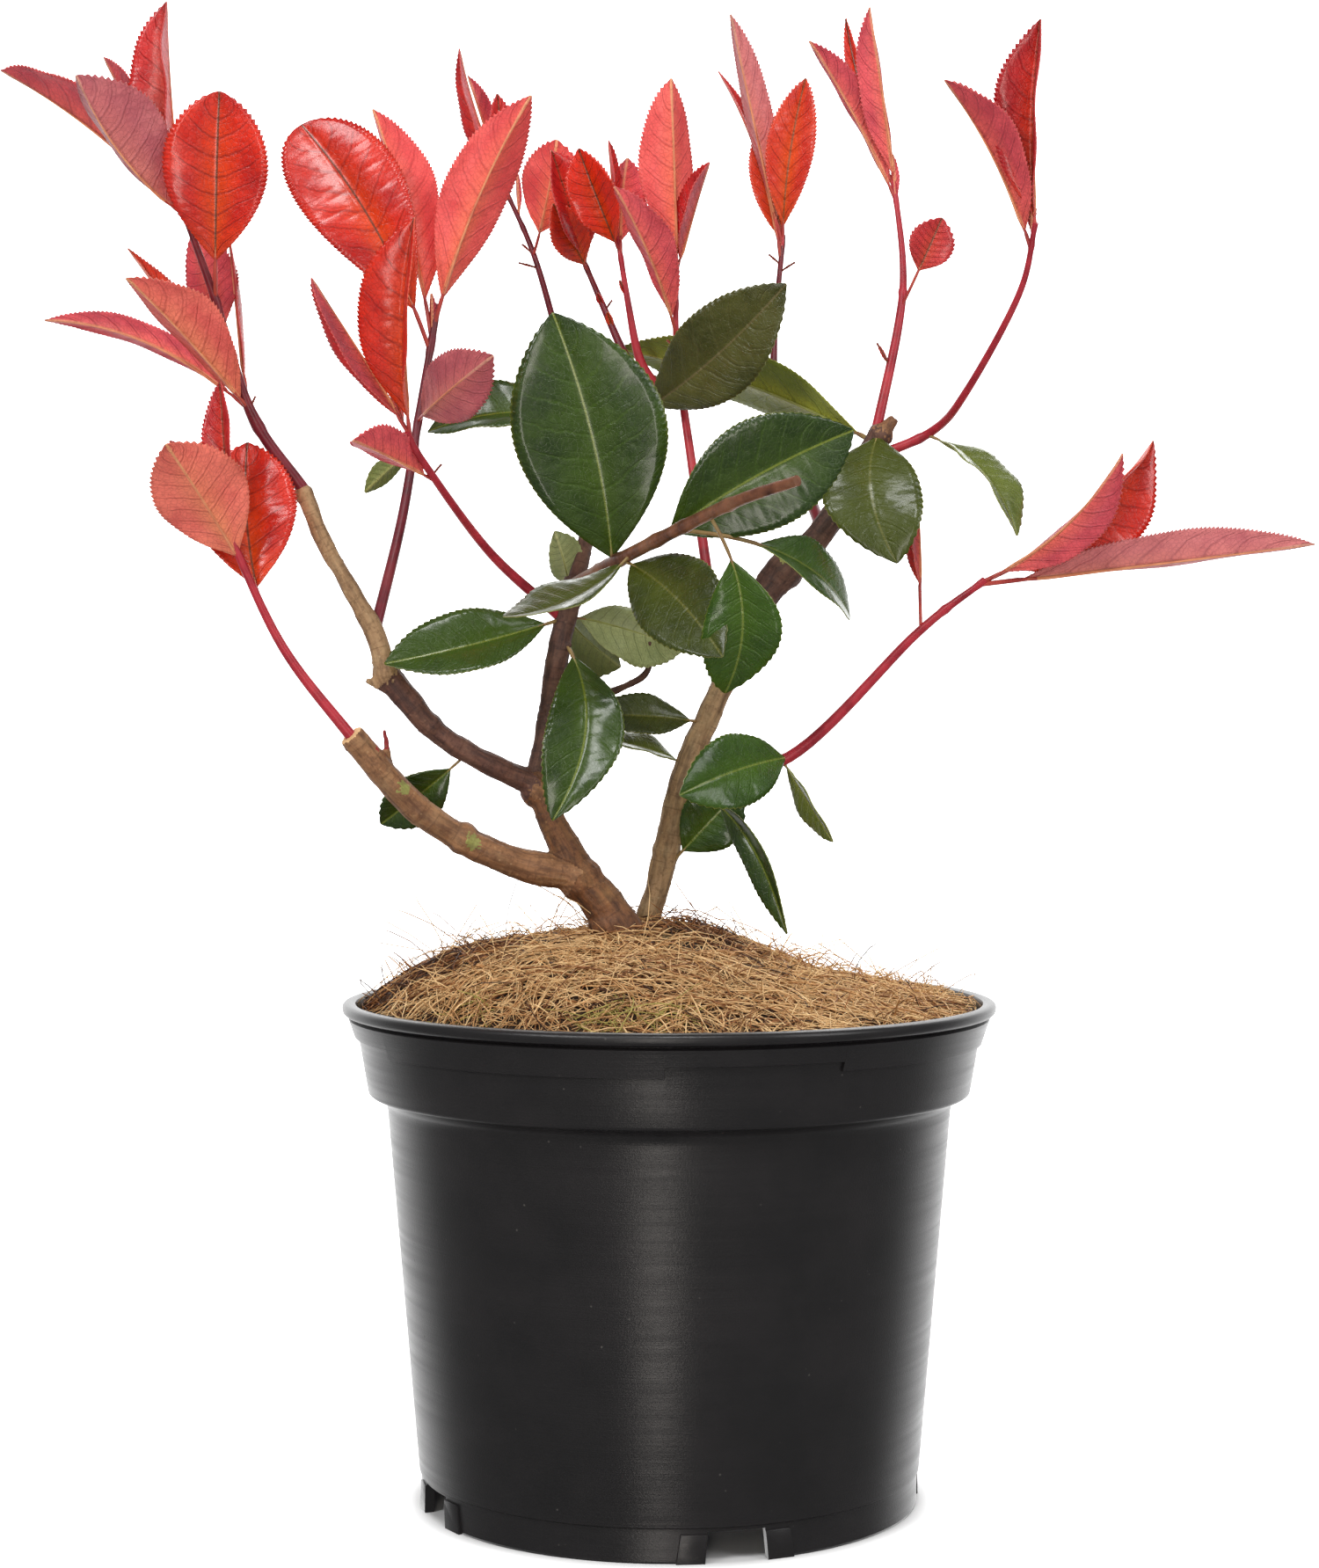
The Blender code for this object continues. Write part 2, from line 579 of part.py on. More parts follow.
def turned(profile, segments):
    """A closed profile of (radius, height) points, turned round the Z axis."""
    bm = bmesh.new()
    verts = [bm.verts.new((radius, 0.0, height)) for radius, height in profile]
    edges = [bm.edges.new(pair) for pair in zip(verts, verts[1:] + verts[:1])]
    bmesh.ops.spin(
        bm, geom=verts + edges, cent=(0, 0, 0), axis=(0, 0, 1), angle=math.tau, steps=segments, use_merge=True
    )
    bmesh.ops.remove_doubles(bm, verts=bm.verts, dist=0.002 * MM)
    flat = [polygon for polygon in bm.faces if polygon.calc_area() < 1e-12]
    bmesh.ops.delete(bm, geom=flat, context="FACES_ONLY")
    loose = [edge for edge in bm.edges if not edge.link_faces]
    bmesh.ops.delete(bm, geom=loose, context="EDGES")
    bmesh.ops.recalc_face_normals(bm, faces=bm.faces)
    return bm


def band_stretch(start, end, lower_edge):
    """One arc of the slightly proud band under the lip, rooted in the wall."""
    top = WALL_TOP - 0.6 * MM
    slope = (WALL_LOW_INSET - WALL_TOP_INSET) / (WALL_TOP - SKIRT_TOP)
    outer_top = RIM_RADIUS - WALL_TOP_INSET - slope * (WALL_TOP - top) + BAND_PROUD
    outer_low = RIM_RADIUS - WALL_TOP_INSET - slope * (WALL_TOP - lower_edge) + BAND_PROUD
    root = WALL / 2 + BAND_PROUD
    profile = [
        (outer_top - root, top), (outer_top - BAND_PROUD, top + 0.6 * MM), (outer_low, lower_edge + 0.5 * MM),
        (outer_low - 0.4 * MM, lower_edge), (outer_low - root, lower_edge),
    ]
    steps = round((end - start) / 360 * POT_SEGMENTS)
    bm = bmesh.new()
    turn_to_start = Matrix.Rotation(math.radians(start), 4, "Z")
    verts = [bm.verts.new(turn_to_start @ Vector((radius, 0.0, height))) for radius, height in profile]
    first = bm.faces.new(verts)
    arc = math.radians(end - start)
    geom = [first, *first.edges, *verts]
    bmesh.ops.spin(bm, geom=geom, cent=(0, 0, 0), axis=(0, 0, 1), angle=arc, steps=steps)
    bmesh.ops.recalc_face_normals(bm, faces=bm.faces)
    return bm


def notch_cutter(heading):
    """A block that opens the foot ring, wider at the bottom, with its heading counted from the front."""
    bm = bmesh.new()
    bmesh.ops.create_cube(bm, size=1.0)
    for vert in bm.verts:
        spread = 1.0 if vert.co.z > 0 else 1.15
        vert.co.x *= NOTCH_WIDTH * spread
        vert.co.y *= 14.0 * MM
        vert.co.z = vert.co.z * FOOT_HEIGHT * 2
        if vert.co.z > 0:
            vert.co.z = FOOT_HEIGHT - 1.4 * MM
    bmesh.ops.translate(bm, verts=bm.verts, vec=(0, -BASE_RADIUS, 0))
    spin = Matrix.Rotation(math.radians(heading), 3, "Z")
    bmesh.ops.rotate(bm, verts=bm.verts, cent=(0, 0, 0), matrix=spin)
    return make_object("notch", bm, BLACK_PLASTIC)


def build_growing_medium():
    """The compost fills the pot and rises in a low dome to a flat where the stems stand."""
    floor = FOOT_HEIGHT + FLOOR_THICKNESS + GAP
    disc = FLOOR_DISC_HEIGHT + FLOOR_THICKNESS + GAP
    foot = BASE_RADIUS - WALL - GAP
    ledge_radius = BASE_RADIUS + 12.0 * MM - WALL - 5 * GAP
    profile = [
        (0.0, SOIL_LEVEL), (SOIL_FLAT_RADIUS, SOIL_LEVEL), (SOIL_SLOPE_END, SOIL_SHOULDER),
        (SOIL_EDGE_RADIUS, MEDIUM_EDGE), (SOIL_EDGE_RADIUS - 0.6 * MM, SKIRT_BOTTOM + 4.0 * MM),
        (ledge_radius, SKIRT_BOTTOM - 2.5 * MM), (foot - GAP, floor),
        (FLOOR_DISC_RADIUS - 3.0 * MM, floor), (FLOOR_DISC_RADIUS - 5.0 * MM, disc), (0.0, disc),
    ]
    make_object("growing_medium", turned(profile, MULCH_SEGMENTS), (0.05, 0.035, 0.025), 0.95)


def mulch_top(x, y):
    """Height of the mat's upper face: a lumpy dome, fuller at the left, with a small heap by the stems."""
    reach = min(math.hypot(x, y) / MULCH_RADIUS, 1.0)
    lean = math.hypot(x - MULCH_CROWN.x, y - MULCH_CROWN.y) / MULCH_RADIUS
    dome = (1.0 - reach ** 7) * math.exp(-MULCH_FALL * lean ** 2)
    from_heap = math.hypot(x - MULCH_HEAP.x, y - MULCH_HEAP.y) / MULCH_HEAP_RADIUS
    heap = MULCH_HEAP_RISE * math.exp(-(from_heap ** 2))
    return MULCH_EDGE_TOP + (MULCH_CROWN_TOP - MULCH_EDGE_TOP) * dome + heap


def build_mulch(stems):
    """The coir mat lies on the compost, with a hole cut for each stem."""
    upper = [(radius * MULCH_RADIUS, 1.0) for radius in MULCH_RINGS]
    lower_radii = (MULCH_RADIUS - 2.0 * MM, SOIL_SLOPE_END, SOIL_FLAT_RADIUS, 0.0)
    lower = [(radius, soil_top(radius) + GAP) for radius in lower_radii]
    bm = turned(upper + lower, MULCH_SEGMENTS)
    for vert in bm.verts:
        if vert.co.z > 0.5:
            vert.co.z = mulch_top(vert.co.x, vert.co.y)
    mulch = make_object("coir_mulch", bm, (0.43, 0.27, 0.13), 0.9)
    for centres, radii in stems:
        cutter = stem_hole_cutter(centres, radii)
        boolean(mulch, "DIFFERENCE", other=cutter)
        bpy.data.objects.remove(cutter)
    replace_mesh(mulch, keep_largest_piece(mulch.data.copy()))


def soil_top(radius):
    """Height of the compost at this radius: a flat, then two slopes out to the wall."""
    if radius <= SOIL_FLAT_RADIUS:
        return SOIL_LEVEL
    if radius <= SOIL_SLOPE_END:
        share = (radius - SOIL_FLAT_RADIUS) / (SOIL_SLOPE_END - SOIL_FLAT_RADIUS)
        return SOIL_LEVEL + (SOIL_SHOULDER - SOIL_LEVEL) * share
    share = (radius - SOIL_SLOPE_END) / (SOIL_EDGE_RADIUS - SOIL_SLOPE_END)
    return SOIL_SHOULDER + (MEDIUM_EDGE - SOIL_SHOULDER) * share


def stem_hole_cutter(centres, radii):
    foot = centres[0] - Vector((0, 0, 8 * MM))
    wide_radii = [radius + STEM_CLEARANCE for radius in [radii[0], *radii]]
    mesh = tube_mesh([foot, *centres], wide_radii, 12)
    cutter = bpy.data.objects.new("stem_hole", mesh)
    cutter.hide_render = True
    cutter.display_type = "WIRE"
    bpy.context.scene.collection.objects.link(cutter)
    return cutter


def limb_line(limb):
    """The limb's centre line and radii in metres, from its stations."""
    stations = smooth_route(limb.stations, 2)
    centres = [station.to_3d() * MM if len(station) == 4 else station for station in stations]
    radii = [station[3] * MM for station in stations]
    return centres, radii


def build_limbs():
    """Each limb as a tapering tube, cut clear of those before it. Returns the lines and the cutters."""
    lines = {}
    cutters = []
    for limb in LIMBS:
        centres, radii = limb_line(limb)
        thing = make_object(limb.name, tube_mesh(centres, radii, limb.sides), BARK, 0.8)
        fuse_stubs(thing)
        cut_clear(thing, cutters)
        shade_by_angle(thing, 60.0)
        lines[limb.name] = (centres, radii)
        cutters.append(fattened_cutter(centres, radii, limb.sides))
    return lines, cutters


def fuse_stubs(thing):
    """Fuses the limb's own stubs onto it."""
    for limb_name, root, end, thick, thin in STUBS:
        if limb_name != thing.name:
            continue
        mesh = tube_mesh([Vector(root) * MM, Vector(end) * MM], [thick * MM, thin * MM], 6)
        stub = bpy.data.objects.new("stub", mesh)
        bpy.context.scene.collection.objects.link(stub)
        boolean(thing, "UNION", other=stub)
        bpy.data.objects.remove(stub)


def build_mass(mass, cutters, taken, chance):
    """A shoot's stem with its leaves fused on, cut clear of the limb that carries it."""
    centres = [point * MM for point in smooth_route(mass.route, 3)]
    thick, thin = (radius * MM for radius in mass.radii)
    radii = [thick + (thin - thick) * number / (len(centres) - 1) for number in range(len(centres))]
    stem = make_object(mass.name, tube_mesh(centres, radii, STEM_SIDES), mass.colour)
    leaves = bpy.data.collections.new(mass.name + "_leaves")
    bpy.context.scene.collection.children.link(leaves)
    for leaf in [*mass.leaves, *tip_leaves(mass, mass.tip_leaves, chance)]:
        base = point_on(centres, leaf.at)
        bm = leaf_solid(leaf, base)
        tree = BVHTree.FromBMesh(bm)
        if any(tree.overlap(other) for other in taken):
            bm.free()
            continue
        mesh = bpy.data.meshes.new("leaf")
        bm.to_mesh(mesh)
        bm.free()
        leaves.objects.link(bpy.data.objects.new("leaf", mesh))
    boolean(stem, "UNION", collection=leaves, solver="MANIFOLD")
    for thing in list(leaves.objects):
        bpy.data.objects.remove(thing)
    bpy.data.collections.remove(leaves)
    replace_mesh(stem, keep_largest_piece(stem.data.copy()))
    cut_clear(stem, cutters)
    taken.append(tree_of(stem))
    cutters.append(fattened_cutter(centres, radii, STEM_SIDES))


def build_single_leaf(name, line, leaf, cutters, taken):
    """One leaf on its own petiole, its root cut clear of the bark."""
    base = point_on(line[0], leaf.at)
    thing = make_object(name, leaf_solid(leaf, base), GREEN, 0.4)
    cut_clear(thing, cutters)
    taken.append(tree_of(thing))


def main():
    clear_scene()
    build_pot()
    build_growing_medium()
    lines, cutters = build_limbs()
    build_mulch([lines["trunk"], lines["right_stem"]])
    chance = random.Random(TIP_LEAF_SEED)
    taken = []
    for name, limb_name, leaf in SINGLE_LEAVES:
        build_single_leaf(name, lines[limb_name], leaf, cutters, taken)
    for mass in MASSES:
        build_mass(mass, cutters, taken, chance)
    for cutter in cutters:
        bpy.data.objects.remove(cutter)


main()
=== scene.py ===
import math
import random
from collections import namedtuple

import bmesh
import bpy
from mathutils import Matrix, Vector, kdtree, noise


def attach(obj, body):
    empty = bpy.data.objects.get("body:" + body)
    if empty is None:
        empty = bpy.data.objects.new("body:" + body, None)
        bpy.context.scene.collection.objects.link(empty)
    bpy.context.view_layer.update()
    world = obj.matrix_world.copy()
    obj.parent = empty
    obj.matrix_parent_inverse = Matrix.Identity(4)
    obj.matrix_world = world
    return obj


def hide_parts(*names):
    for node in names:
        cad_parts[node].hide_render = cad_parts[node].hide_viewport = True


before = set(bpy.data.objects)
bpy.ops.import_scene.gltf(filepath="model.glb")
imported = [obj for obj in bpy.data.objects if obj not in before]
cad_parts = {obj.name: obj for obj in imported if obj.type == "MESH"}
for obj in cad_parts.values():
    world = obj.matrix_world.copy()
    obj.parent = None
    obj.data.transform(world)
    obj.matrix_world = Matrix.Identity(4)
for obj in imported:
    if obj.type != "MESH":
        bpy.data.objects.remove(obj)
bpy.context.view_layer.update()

# A young photinia with red shoots, in a black nursery pot mulched with coir. Lengths in the tables are in
# millimetres and angles in degrees. +Z is up, +X is to the right and +Y to the back.

MM = 0.001

# Camera
PHOTO_HEIGHT = 1783
FOCAL_PIXELS = 3450.0
SENSOR_HEIGHT = 36.0
CAMERA_PLACE = Vector((-3.4 * MM, -1070.0 * MM, 281.0 * MM))
CAMERA_PITCH = 0.0267

# Pot
RIM_RADIUS = 115.0
RIM_HEIGHT = 176.5
BASE_RADIUS = 87.4
WALL = 1.8
WALL_TOP = 171.8
WALL_TOP_INSET = 3.2
WALL_LOW_INSET = 6.2
SKIRT_TOP = 162.0
SKIRT_BOTTOM = 144.7
FOOT_HEIGHT = 12.0
FOOT_INSET = 0.7
FLOOR_THICKNESS = 2.0
FLOOR_DISC_RADIUS = 57.0
FLOOR_DISC_HEIGHT = 1.6
POT_SEGMENTS = 180
NOTCH_HEADINGS = (-67.0, 14.5, 104.0, 194.5)
NOTCH_WIDTH = 19.5
BAND_PROUD = 1.3
BAND_STRETCHES = (
    (149.0, 211.0, 164.6), (211.0, 269.0, 161.4), (269.0, 300.5, 165.3), (300.5, 509.0, 162.2),
)
# The lip's section, outside and inside: how far in from the rim, and how far down from its top
OUTER_LIP = (
    (3.6, 0.0), (1.7, 0.1), (0.7, 0.5), (0.15, 1.1), (0.0, 1.8), (0.1, 2.8), (0.4, 3.5), (1.0, 4.0),
    (1.9, 4.2),
)
INNER_LIP = ((5.6, 4.2), (5.2, 2.0), (4.6, 0.5))
PAD_WIDTH = 9.0
PAD_PROUD = 0.3

# Floor
FLOOR_RADIUS = 0.62
# Painted soft shadow round the pot's foot, radii in metres: the floor has no glow inside the first and its
# full glow beyond the second
FLOOR_PAINTED_SHADOW_FULL_TO = 0.086
FLOOR_PAINTED_SHADOW_FADE_TO = 0.100

# Coir mat
MULCH_RADIUS = 106.4
MULCH_EDGE_TOP = 173.0
MULCH_CROWN_TOP = 196.0
MULCH_CROWN = (-40.0, -10.0)
MULCH_FALL = 1.15
MULCH_HEAP = (7.0, 10.0)
MULCH_HEAP_RISE = 10.5
MULCH_HEAP_RADIUS = 35.0
MAT_SEGMENTS = 120
MAT_RINGS = 26
FIBRE_SEED = 11
FIBRES_IN_A_PIECE = 2500
FIBRE_PIECES = 2
FIBRE_POINTS = 7
FIBRE_RADII = (0.11, 0.30)
FIBRE_LENGTHS = (7.0, 42.0)
RAISED_ENDS = 2600
LONG_STRAYS = 260
STRAY_FIBRES = 160
CHIPS = 90

# Leaves
OUTLINE_POWER = 1.0
LEAF_END_WIDTH = 0.7
BLADE_THICKNESS = 0.38
TIP_LEAF_SEED = 7
TIP_LEAF_LENGTHS = (13.0, 21.0)
BLADE_SEED = 23
ROW_LENGTH = 0.52
OLD_ROW_LENGTH = 0.80
ROWS_IN_A_TOOTH = 3
HALF_COLUMNS = (0.0, 0.1, 0.32, 0.58, 0.83, 1.0)
VEIN_PAIRS = 9.0
VEIN_LEAN = 0.17
PUCKER_SCALE = 330.0

# Ribs: the petiole's radius on a leaf without length and its growth with length, where the midrib ends, and
# the share of that radius that the midrib starts with and the share that it loses on its way
PETIOLE_RADIUS = 0.38
PETIOLE_GROWTH = 0.0050
MIDRIB_END = 0.96
MIDRIB_START_SHARE = 0.75
MIDRIB_LOSS = 0.60

# Bark
BARK_VOXEL = 0.62
RING_SPACING = 6.5
RING_HEIGHT = 0.26

Limb = namedtuple("Limb", "name stations")
Leaf = namedtuple(
    "Leaf", "tint at length heading rise width turn fold bow sway petiole widest", defaults=(0, 0, 0.1, 0.53)
)
Shoot = namedtuple("Shoot", "name stem radii route tip_leaves leaves")
Face = namedtuple("Face", "blade deep glow vein midrib margin")
Finish = namedtuple("Finish", "upper under gloss")

# The limbs of the plant, each a line of (x, y, z, radius)
LIMBS = (
    Limb("trunk", (
        (-15, -6, 189.2, 12), (-15, -6, 194, 10), (-17, -6, 200, 8.4), (-23, -6, 210, 7.4), (-33, -6, 222, 7),
    )),
    Limb("low_left_bough", (
        (-32, -6, 221, 6.6), (-50, -9, 224, 5.7), (-69, -14, 232, 5.1), (-89, -21, 246, 5),
        (-109, -32, 270, 4.6),
    )),
    Limb("fork_stem", (
        (-28, -6, 217, 6), (-37, -5, 231, 5.5), (-43, -4, 244, 4.9), (-46, -3, 256, 5.2),
    )),
    Limb("middle_bough", (
        (-46, -3, 254, 4.6), (-44, -1, 267, 3.9), (-42, 0, 281, 3.8), (-38, -2, 304, 4), (-33, -2, 325, 4.1),
    )),
    Limb("left_bough", (
        (-43, -3, 251, 4.6), (-62, -7, 259, 4), (-80, -12, 270, 3.9), (-91, -16, 282, 4.6),
        (-99, -18, 293, 4.2),
    )),
    Limb("left_bough_top", (
        (-98, -18, 291, 4.0), (-102, -18, 305, 3.5), (-109, -19, 318, 3.1), (-120, -20, 338, 2.8),
        (-126, -20, 354, 3.1),
    )),
    Limb("back_bough", (
        (-33, -1, 322, 3.0), (-28, 18, 345, 2.7), (-20, 38, 370, 2.6), (-7, 60, 400, 2.8),
    )),
    Limb("right_stem", (
        (-9, 14, 189, 7.5), (-9, 14, 198, 5.2), (-5, 12, 212, 4.3), (-1, 12, 228, 4.8), (5, 10, 254, 4.6),
        (13, 10, 274, 4.3), (22, 11, 294, 4.1),
    )),
    Limb("right_bough", (
        (20, 11, 292, 4.1), (29, 12, 311, 4.5), (39, 13, 326, 6.2), (48, 13, 334, 5.2), (62, 11, 353, 4.5),
        (75, 9, 378, 3.8),
    )),
    Limb("bent_twig", (
        (-44, 0, 277, 1.8), (-18, 12, 286, 1.4), (-8, 11, 292, 1.2), (-7, 8, 303, 1.0),
    )),
)

# Dead stubs and thorns on the bark: root, end and the radii there
STUBS = (
    ((-89, -16, 281), (-105, -20, 289), 1.9, 1.2),
    ((-96, -23, 255), (-98, -28, 272), 1.6, 0.9),
    ((74, 9, 375), (80, 9, 382), 3.2, 2.0),
    ((-38, -2, 302), (-34, -6, 301), 1.6, 0.9),
    ((-7, 60, 398), (-6, 60, 403), 2.9, 2.4),
)

# Swellings where limbs fork or old leaves grew: place and radius
KNOTS = (
    ((-46, -3, 250), 6.4), ((-31, -6, 219), 8.2), ((41, 13, 328), 6.9), ((-98, -18, 291), 5.0),
    ((-72, -15, 234), 5.9), ((-20, -6, 203), 8.6), ((-126, -20, 353), 3.5), ((-83, -13, 273), 4.5),
    ((-35, -2, 318), 4.9), ((75, 9, 376), 4.5), ((23, 11, 295), 5.0), ((-1, 12, 228), 5.3),
)

# A leaf is its tint, how far along its stem it grows (0 to 1), its length, the heading and rise of its tip
# (0 is right, 90 is back), its width, how far its upper face is turned from the front, the fold of each half
# about the midrib, the bow of the midrib towards its face and to its side, the petiole's share of the length,
# and where along its blade it is widest.
SHOOTS = (
    Shoot(
        "far_left_shoot", "wine_stem", (2.4, 0.9),
        ((-126, -20, 354), (-144, -23, 381), (-156, -29, 421), (-168, -36, 456)), 1,
        (
            Leaf("crimson", 0.91, 84, 169, 38, 32, 80, 40, 0.045),
            Leaf("mauve", 0.91, 59, -139, 45, 38, 138, 42, -0.10),
            Leaf("crimson", 0.95, 67, -128, 85, 27, -46, 45, 0.02),
            Leaf("crimson", 0.93, 72, 137, 53, 18, 100, 30),
            Leaf("scarlet", 0.64, 71, -78, 70, 36, 0, 10, 0.04, 0, 0.2, 0.58),
            Leaf("crimson", 0.50, 51, 124, 55, 22, 160, 20, 0, 0, 0.15),
            Leaf("crimson", 0.32, 59, 126, 78, 9, 90, 14, 0, 0, 0.15),
            Leaf("coral", 0.29, 63, -144, 42, 28, 140, 36, 0, -0.03),
            Leaf("crimson", 0.29, 82, 169, 24, 13, 140, 35, 0.02, -0.10),
            Leaf("coral", 0.27, 84, 149, 48, 13, 60, 35),
        ),
    ),
    Shoot(
        "low_left_shoot", "red_stem", (2.1, 0.8),
        ((-107, -31, 267), (-132, -33, 300), (-149, -41, 338), (-156, -44, 354)), 1,
        (
            Leaf("scarlet", 0.57, 59, 112, 73, 36, 6, 14, 0.02, -0.04),
            Leaf("coral", 0.70, 52, -134, 51, 33, 172, 14, 0.04),
            Leaf("crimson", 0.82, 53, 128, 83, 15, -30, 35),
            Leaf("crimson", 0.94, 26, -147, 51, 10, 60, 25),
        ),
    ),
    Shoot(
        "left_shoot", "wine_stem", (2.1, 1.2),
        ((-102, -18, 306), (-94, 0, 346), (-89, 14, 384), (-83, 24, 424)), 1,
        (
            Leaf("scarlet", 0.86, 95, 170, 60, 39, 0, 12, 0.05, 0.05, 0.16, 0.64),
            Leaf("rose", 0.89, 97, 127, 66, 27, 142, 40, 0, -0.035, 0.16),
            Leaf("rose", 0.93, 89, -13, 66, 27, 205, 25, 0.03, 0.03, 0.12),
            Leaf("mauve", 0.65, 54, -55, 20, 24, 182, 10, -0.10, 0, 0.12),
            Leaf("fresh_green", 0.56, 23, 174, -40, 9, 150, 20, 0.08),
        ),
    ),
    Shoot(
        "front_left_shoot", "red_stem", (2.0, 0.9),
        ((-38, -2, 311), (-62, -22, 333), (-82, -54, 361), (-87, -62, 371)), 0,
        (
            Leaf("crimson", 1.00, 59, -152, 55, 17, -80, 40),
            Leaf("crimson", 0.99, 37, -177, 67, 10, 60, 30),
            Leaf("scarlet", 0.97, 75, -83, 65, 31, -42, 40, 0.05),
            Leaf("crimson", 0.76, 42, -129, 16, 19, 140, 38, 0.03, 0, 0.15),
        ),
    ),
    Shoot(
        "back_left_shoot", "wine_stem", (1.9, 0.8),
        ((-24, 28, 357), (-34, 62, 389), (-50, 92, 448), (-63, 100, 479)), 1,
        (
            Leaf("crimson", 0.95, 62, -173, 71, 14, -70, 35, 0.04),
            Leaf("crimson", 0.97, 53, 142, 67, 12, 120, 35),
            Leaf("crimson", 0.98, 38, -160, 84, 12, 20, 25),
            Leaf("rose", 0.80, 45, -61, 64, 28, 170, 25, -0.12, -0.05, 0.22),
        ),
    ),
    Shoot(
        "back_shoot", "wine_stem", (2.1, 0.9),
        ((-10, 59, 397), (-17, 67, 412), (-25, 74, 431), (-33, 80, 450)), 1,
        (
            Leaf("crimson", 0.91, 47, -120, 58, 26, 30, 38, 0.02),
            Leaf("crimson", 0.93, 46, 100, 70, 14, -60, 40),
            Leaf("coral", 0.88, 32, -123, 44, 16, 15, 12),
        ),
    ),
    Shoot(
        "upright_shoot", "red_stem", (2.1, 0.8),
        ((-5, 57, 398), (-11, 57, 409), (-15, 58, 429), (-19, 60, 454)), 1,
        (
            Leaf("scarlet", 0.89, 41, -147, 64, 22, -20, 30, 0.03),
            Leaf("crimson", 0.93, 41, 123, 80, 10, 70, 30),
            Leaf("crimson", 0.85, 41, 79, 73, 18, 168, 25, -0.1, 0, 0.15),
        ),
    ),
    Shoot(
        "tall_middle_shoot", "red_stem", (2.2, 0.8),
        ((19, 11, 289), (9, 40, 364), (3, 48, 410), (3, 50, 443)), 1,
        (
            Leaf("rose", 0.99, 68, -117, 86, 26, 208, 30, 0, 0, 0.05),
            Leaf("crimson", 0.98, 41, -40, 68, 17, -72, 40, 0, -0.03),
            Leaf("crimson", 0.83, 60, -135, 58, 21, 140, 38, 0, -0.05, 0.12),
        ),
    ),
    Shoot(
        "tall_right_shoot", "wine_stem", (2.2, 0.9),
        ((55, 13, 341), (42, 70, 389), (40, 84, 416), (44, 97, 460)), 1,
        (
            Leaf("mauve", 0.97, 89, -158, 76, 16, 142, 36),
            Leaf("crimson", 0.93, 81, 144, 69, 10, 60, 30, 0.06),
            Leaf("coral", 0.96, 48, 139, 75, 14, 0, 24),
            Leaf("coral", 0.98, 62, -45, 79, 21, -4, 30, 0.02, -0.03),
        ),
    ),
    Shoot(
        "slim_right_shoot", "red_stem", (2.0, 0.9),
        ((73, 10, 375), (82, 18, 416), (84, 24, 439), (81, 30, 470)), 1,
        (
            Leaf("crimson", 0.91, 65, -168, 60, 17, 135, 45, 0.07, 0.02),
            Leaf("crimson", 0.98, 63, -149, 80, 16, 220, 40, 0, 0, 0.05),
            Leaf("scarlet", 0.96, 68, 140, 71, 8, -30, 30, 0, -0.03),
            Leaf("mauve", 0.50, 35, -36, 61, 17, 8, 15, 0.03, 0, 0.42),
        ),
    ),
    Shoot(
        "far_right_shoot", "red_stem", (1.9, 0.9),
        ((72, 11, 368), (93, 4, 377), (103, -16, 389), (118, -42, 419), (122, -54, 441)), 1,
        (
            Leaf("crimson", 0.92, 63, -166, 61, 28, 80, 50, 0.05),
            Leaf("crimson", 0.99, 67, -90, 79, 27, -46, 45, 0, -0.03, 0.04),
            Leaf("pale_green", 0.18, 51, -31, -46, 24, -60, 18, 0.13),
        ),
    ),
    Shoot(
        "low_right_shoot", "red_stem", (2.5, 1.2),
        ((7, 10, 260), (42, -5, 262), (88, 3, 306), (112, 8, 324.5)), 0,
        (
            Leaf("mauve", 0.98, 124, 7, 7, 22, 222, 42, 0, 0, 0.12),
            Leaf("scarlet", 0.99, 84, 16, 38, 38, 40, 44, 0.05, 0.05, 0.14),
            Leaf("crimson", 1.00, 66, -23, 41, 22, 136, 45, 0.06, -0.06),
            Leaf("crimson", 0.78, 54, 94, 80, 14, -80, 40, 0, 0, 0.3),
            Leaf("fresh_green", 0.29, 51, -141, -14, 26, 4, 8, 0.05, 0.03, 0.03),
            Leaf("pale_green", 0.27, 36, -39, -52, 13, 62, 20),
        ),
    ),
    Shoot(
        "cut_shoot", "brown_twig", (2.6, 1.8),
        ((-34, -3, 322), (-15, -32, 331), (19, -88, 345), (40, -112, 351)), 0,
        (
            Leaf("deep_green", 0.20, 88, -137, 72, 53, -3, 8, 0.05, 0.04, 0.02),
            Leaf("deep_green", 0.45, 73, -4, 29, 38, 10, 10, 0.04, -0.04, 0.04),
            Leaf("olive", 0.24, 66, -53, -31, 31, 0, 8, 0.06, -0.05),
            Leaf("fresh_green", 0.67, 62, 74, -70, 27, 8, 10, 0.06, -0.14, 0.24),
            Leaf("fresh_green", 0.52, 82, 38, -20, 22, -42, 16, 0.16, 0, 0.32),
            Leaf("olive", 0.30, 50, -165, -26, 28, 66, 10, -0.10),
        ),
    ),
)

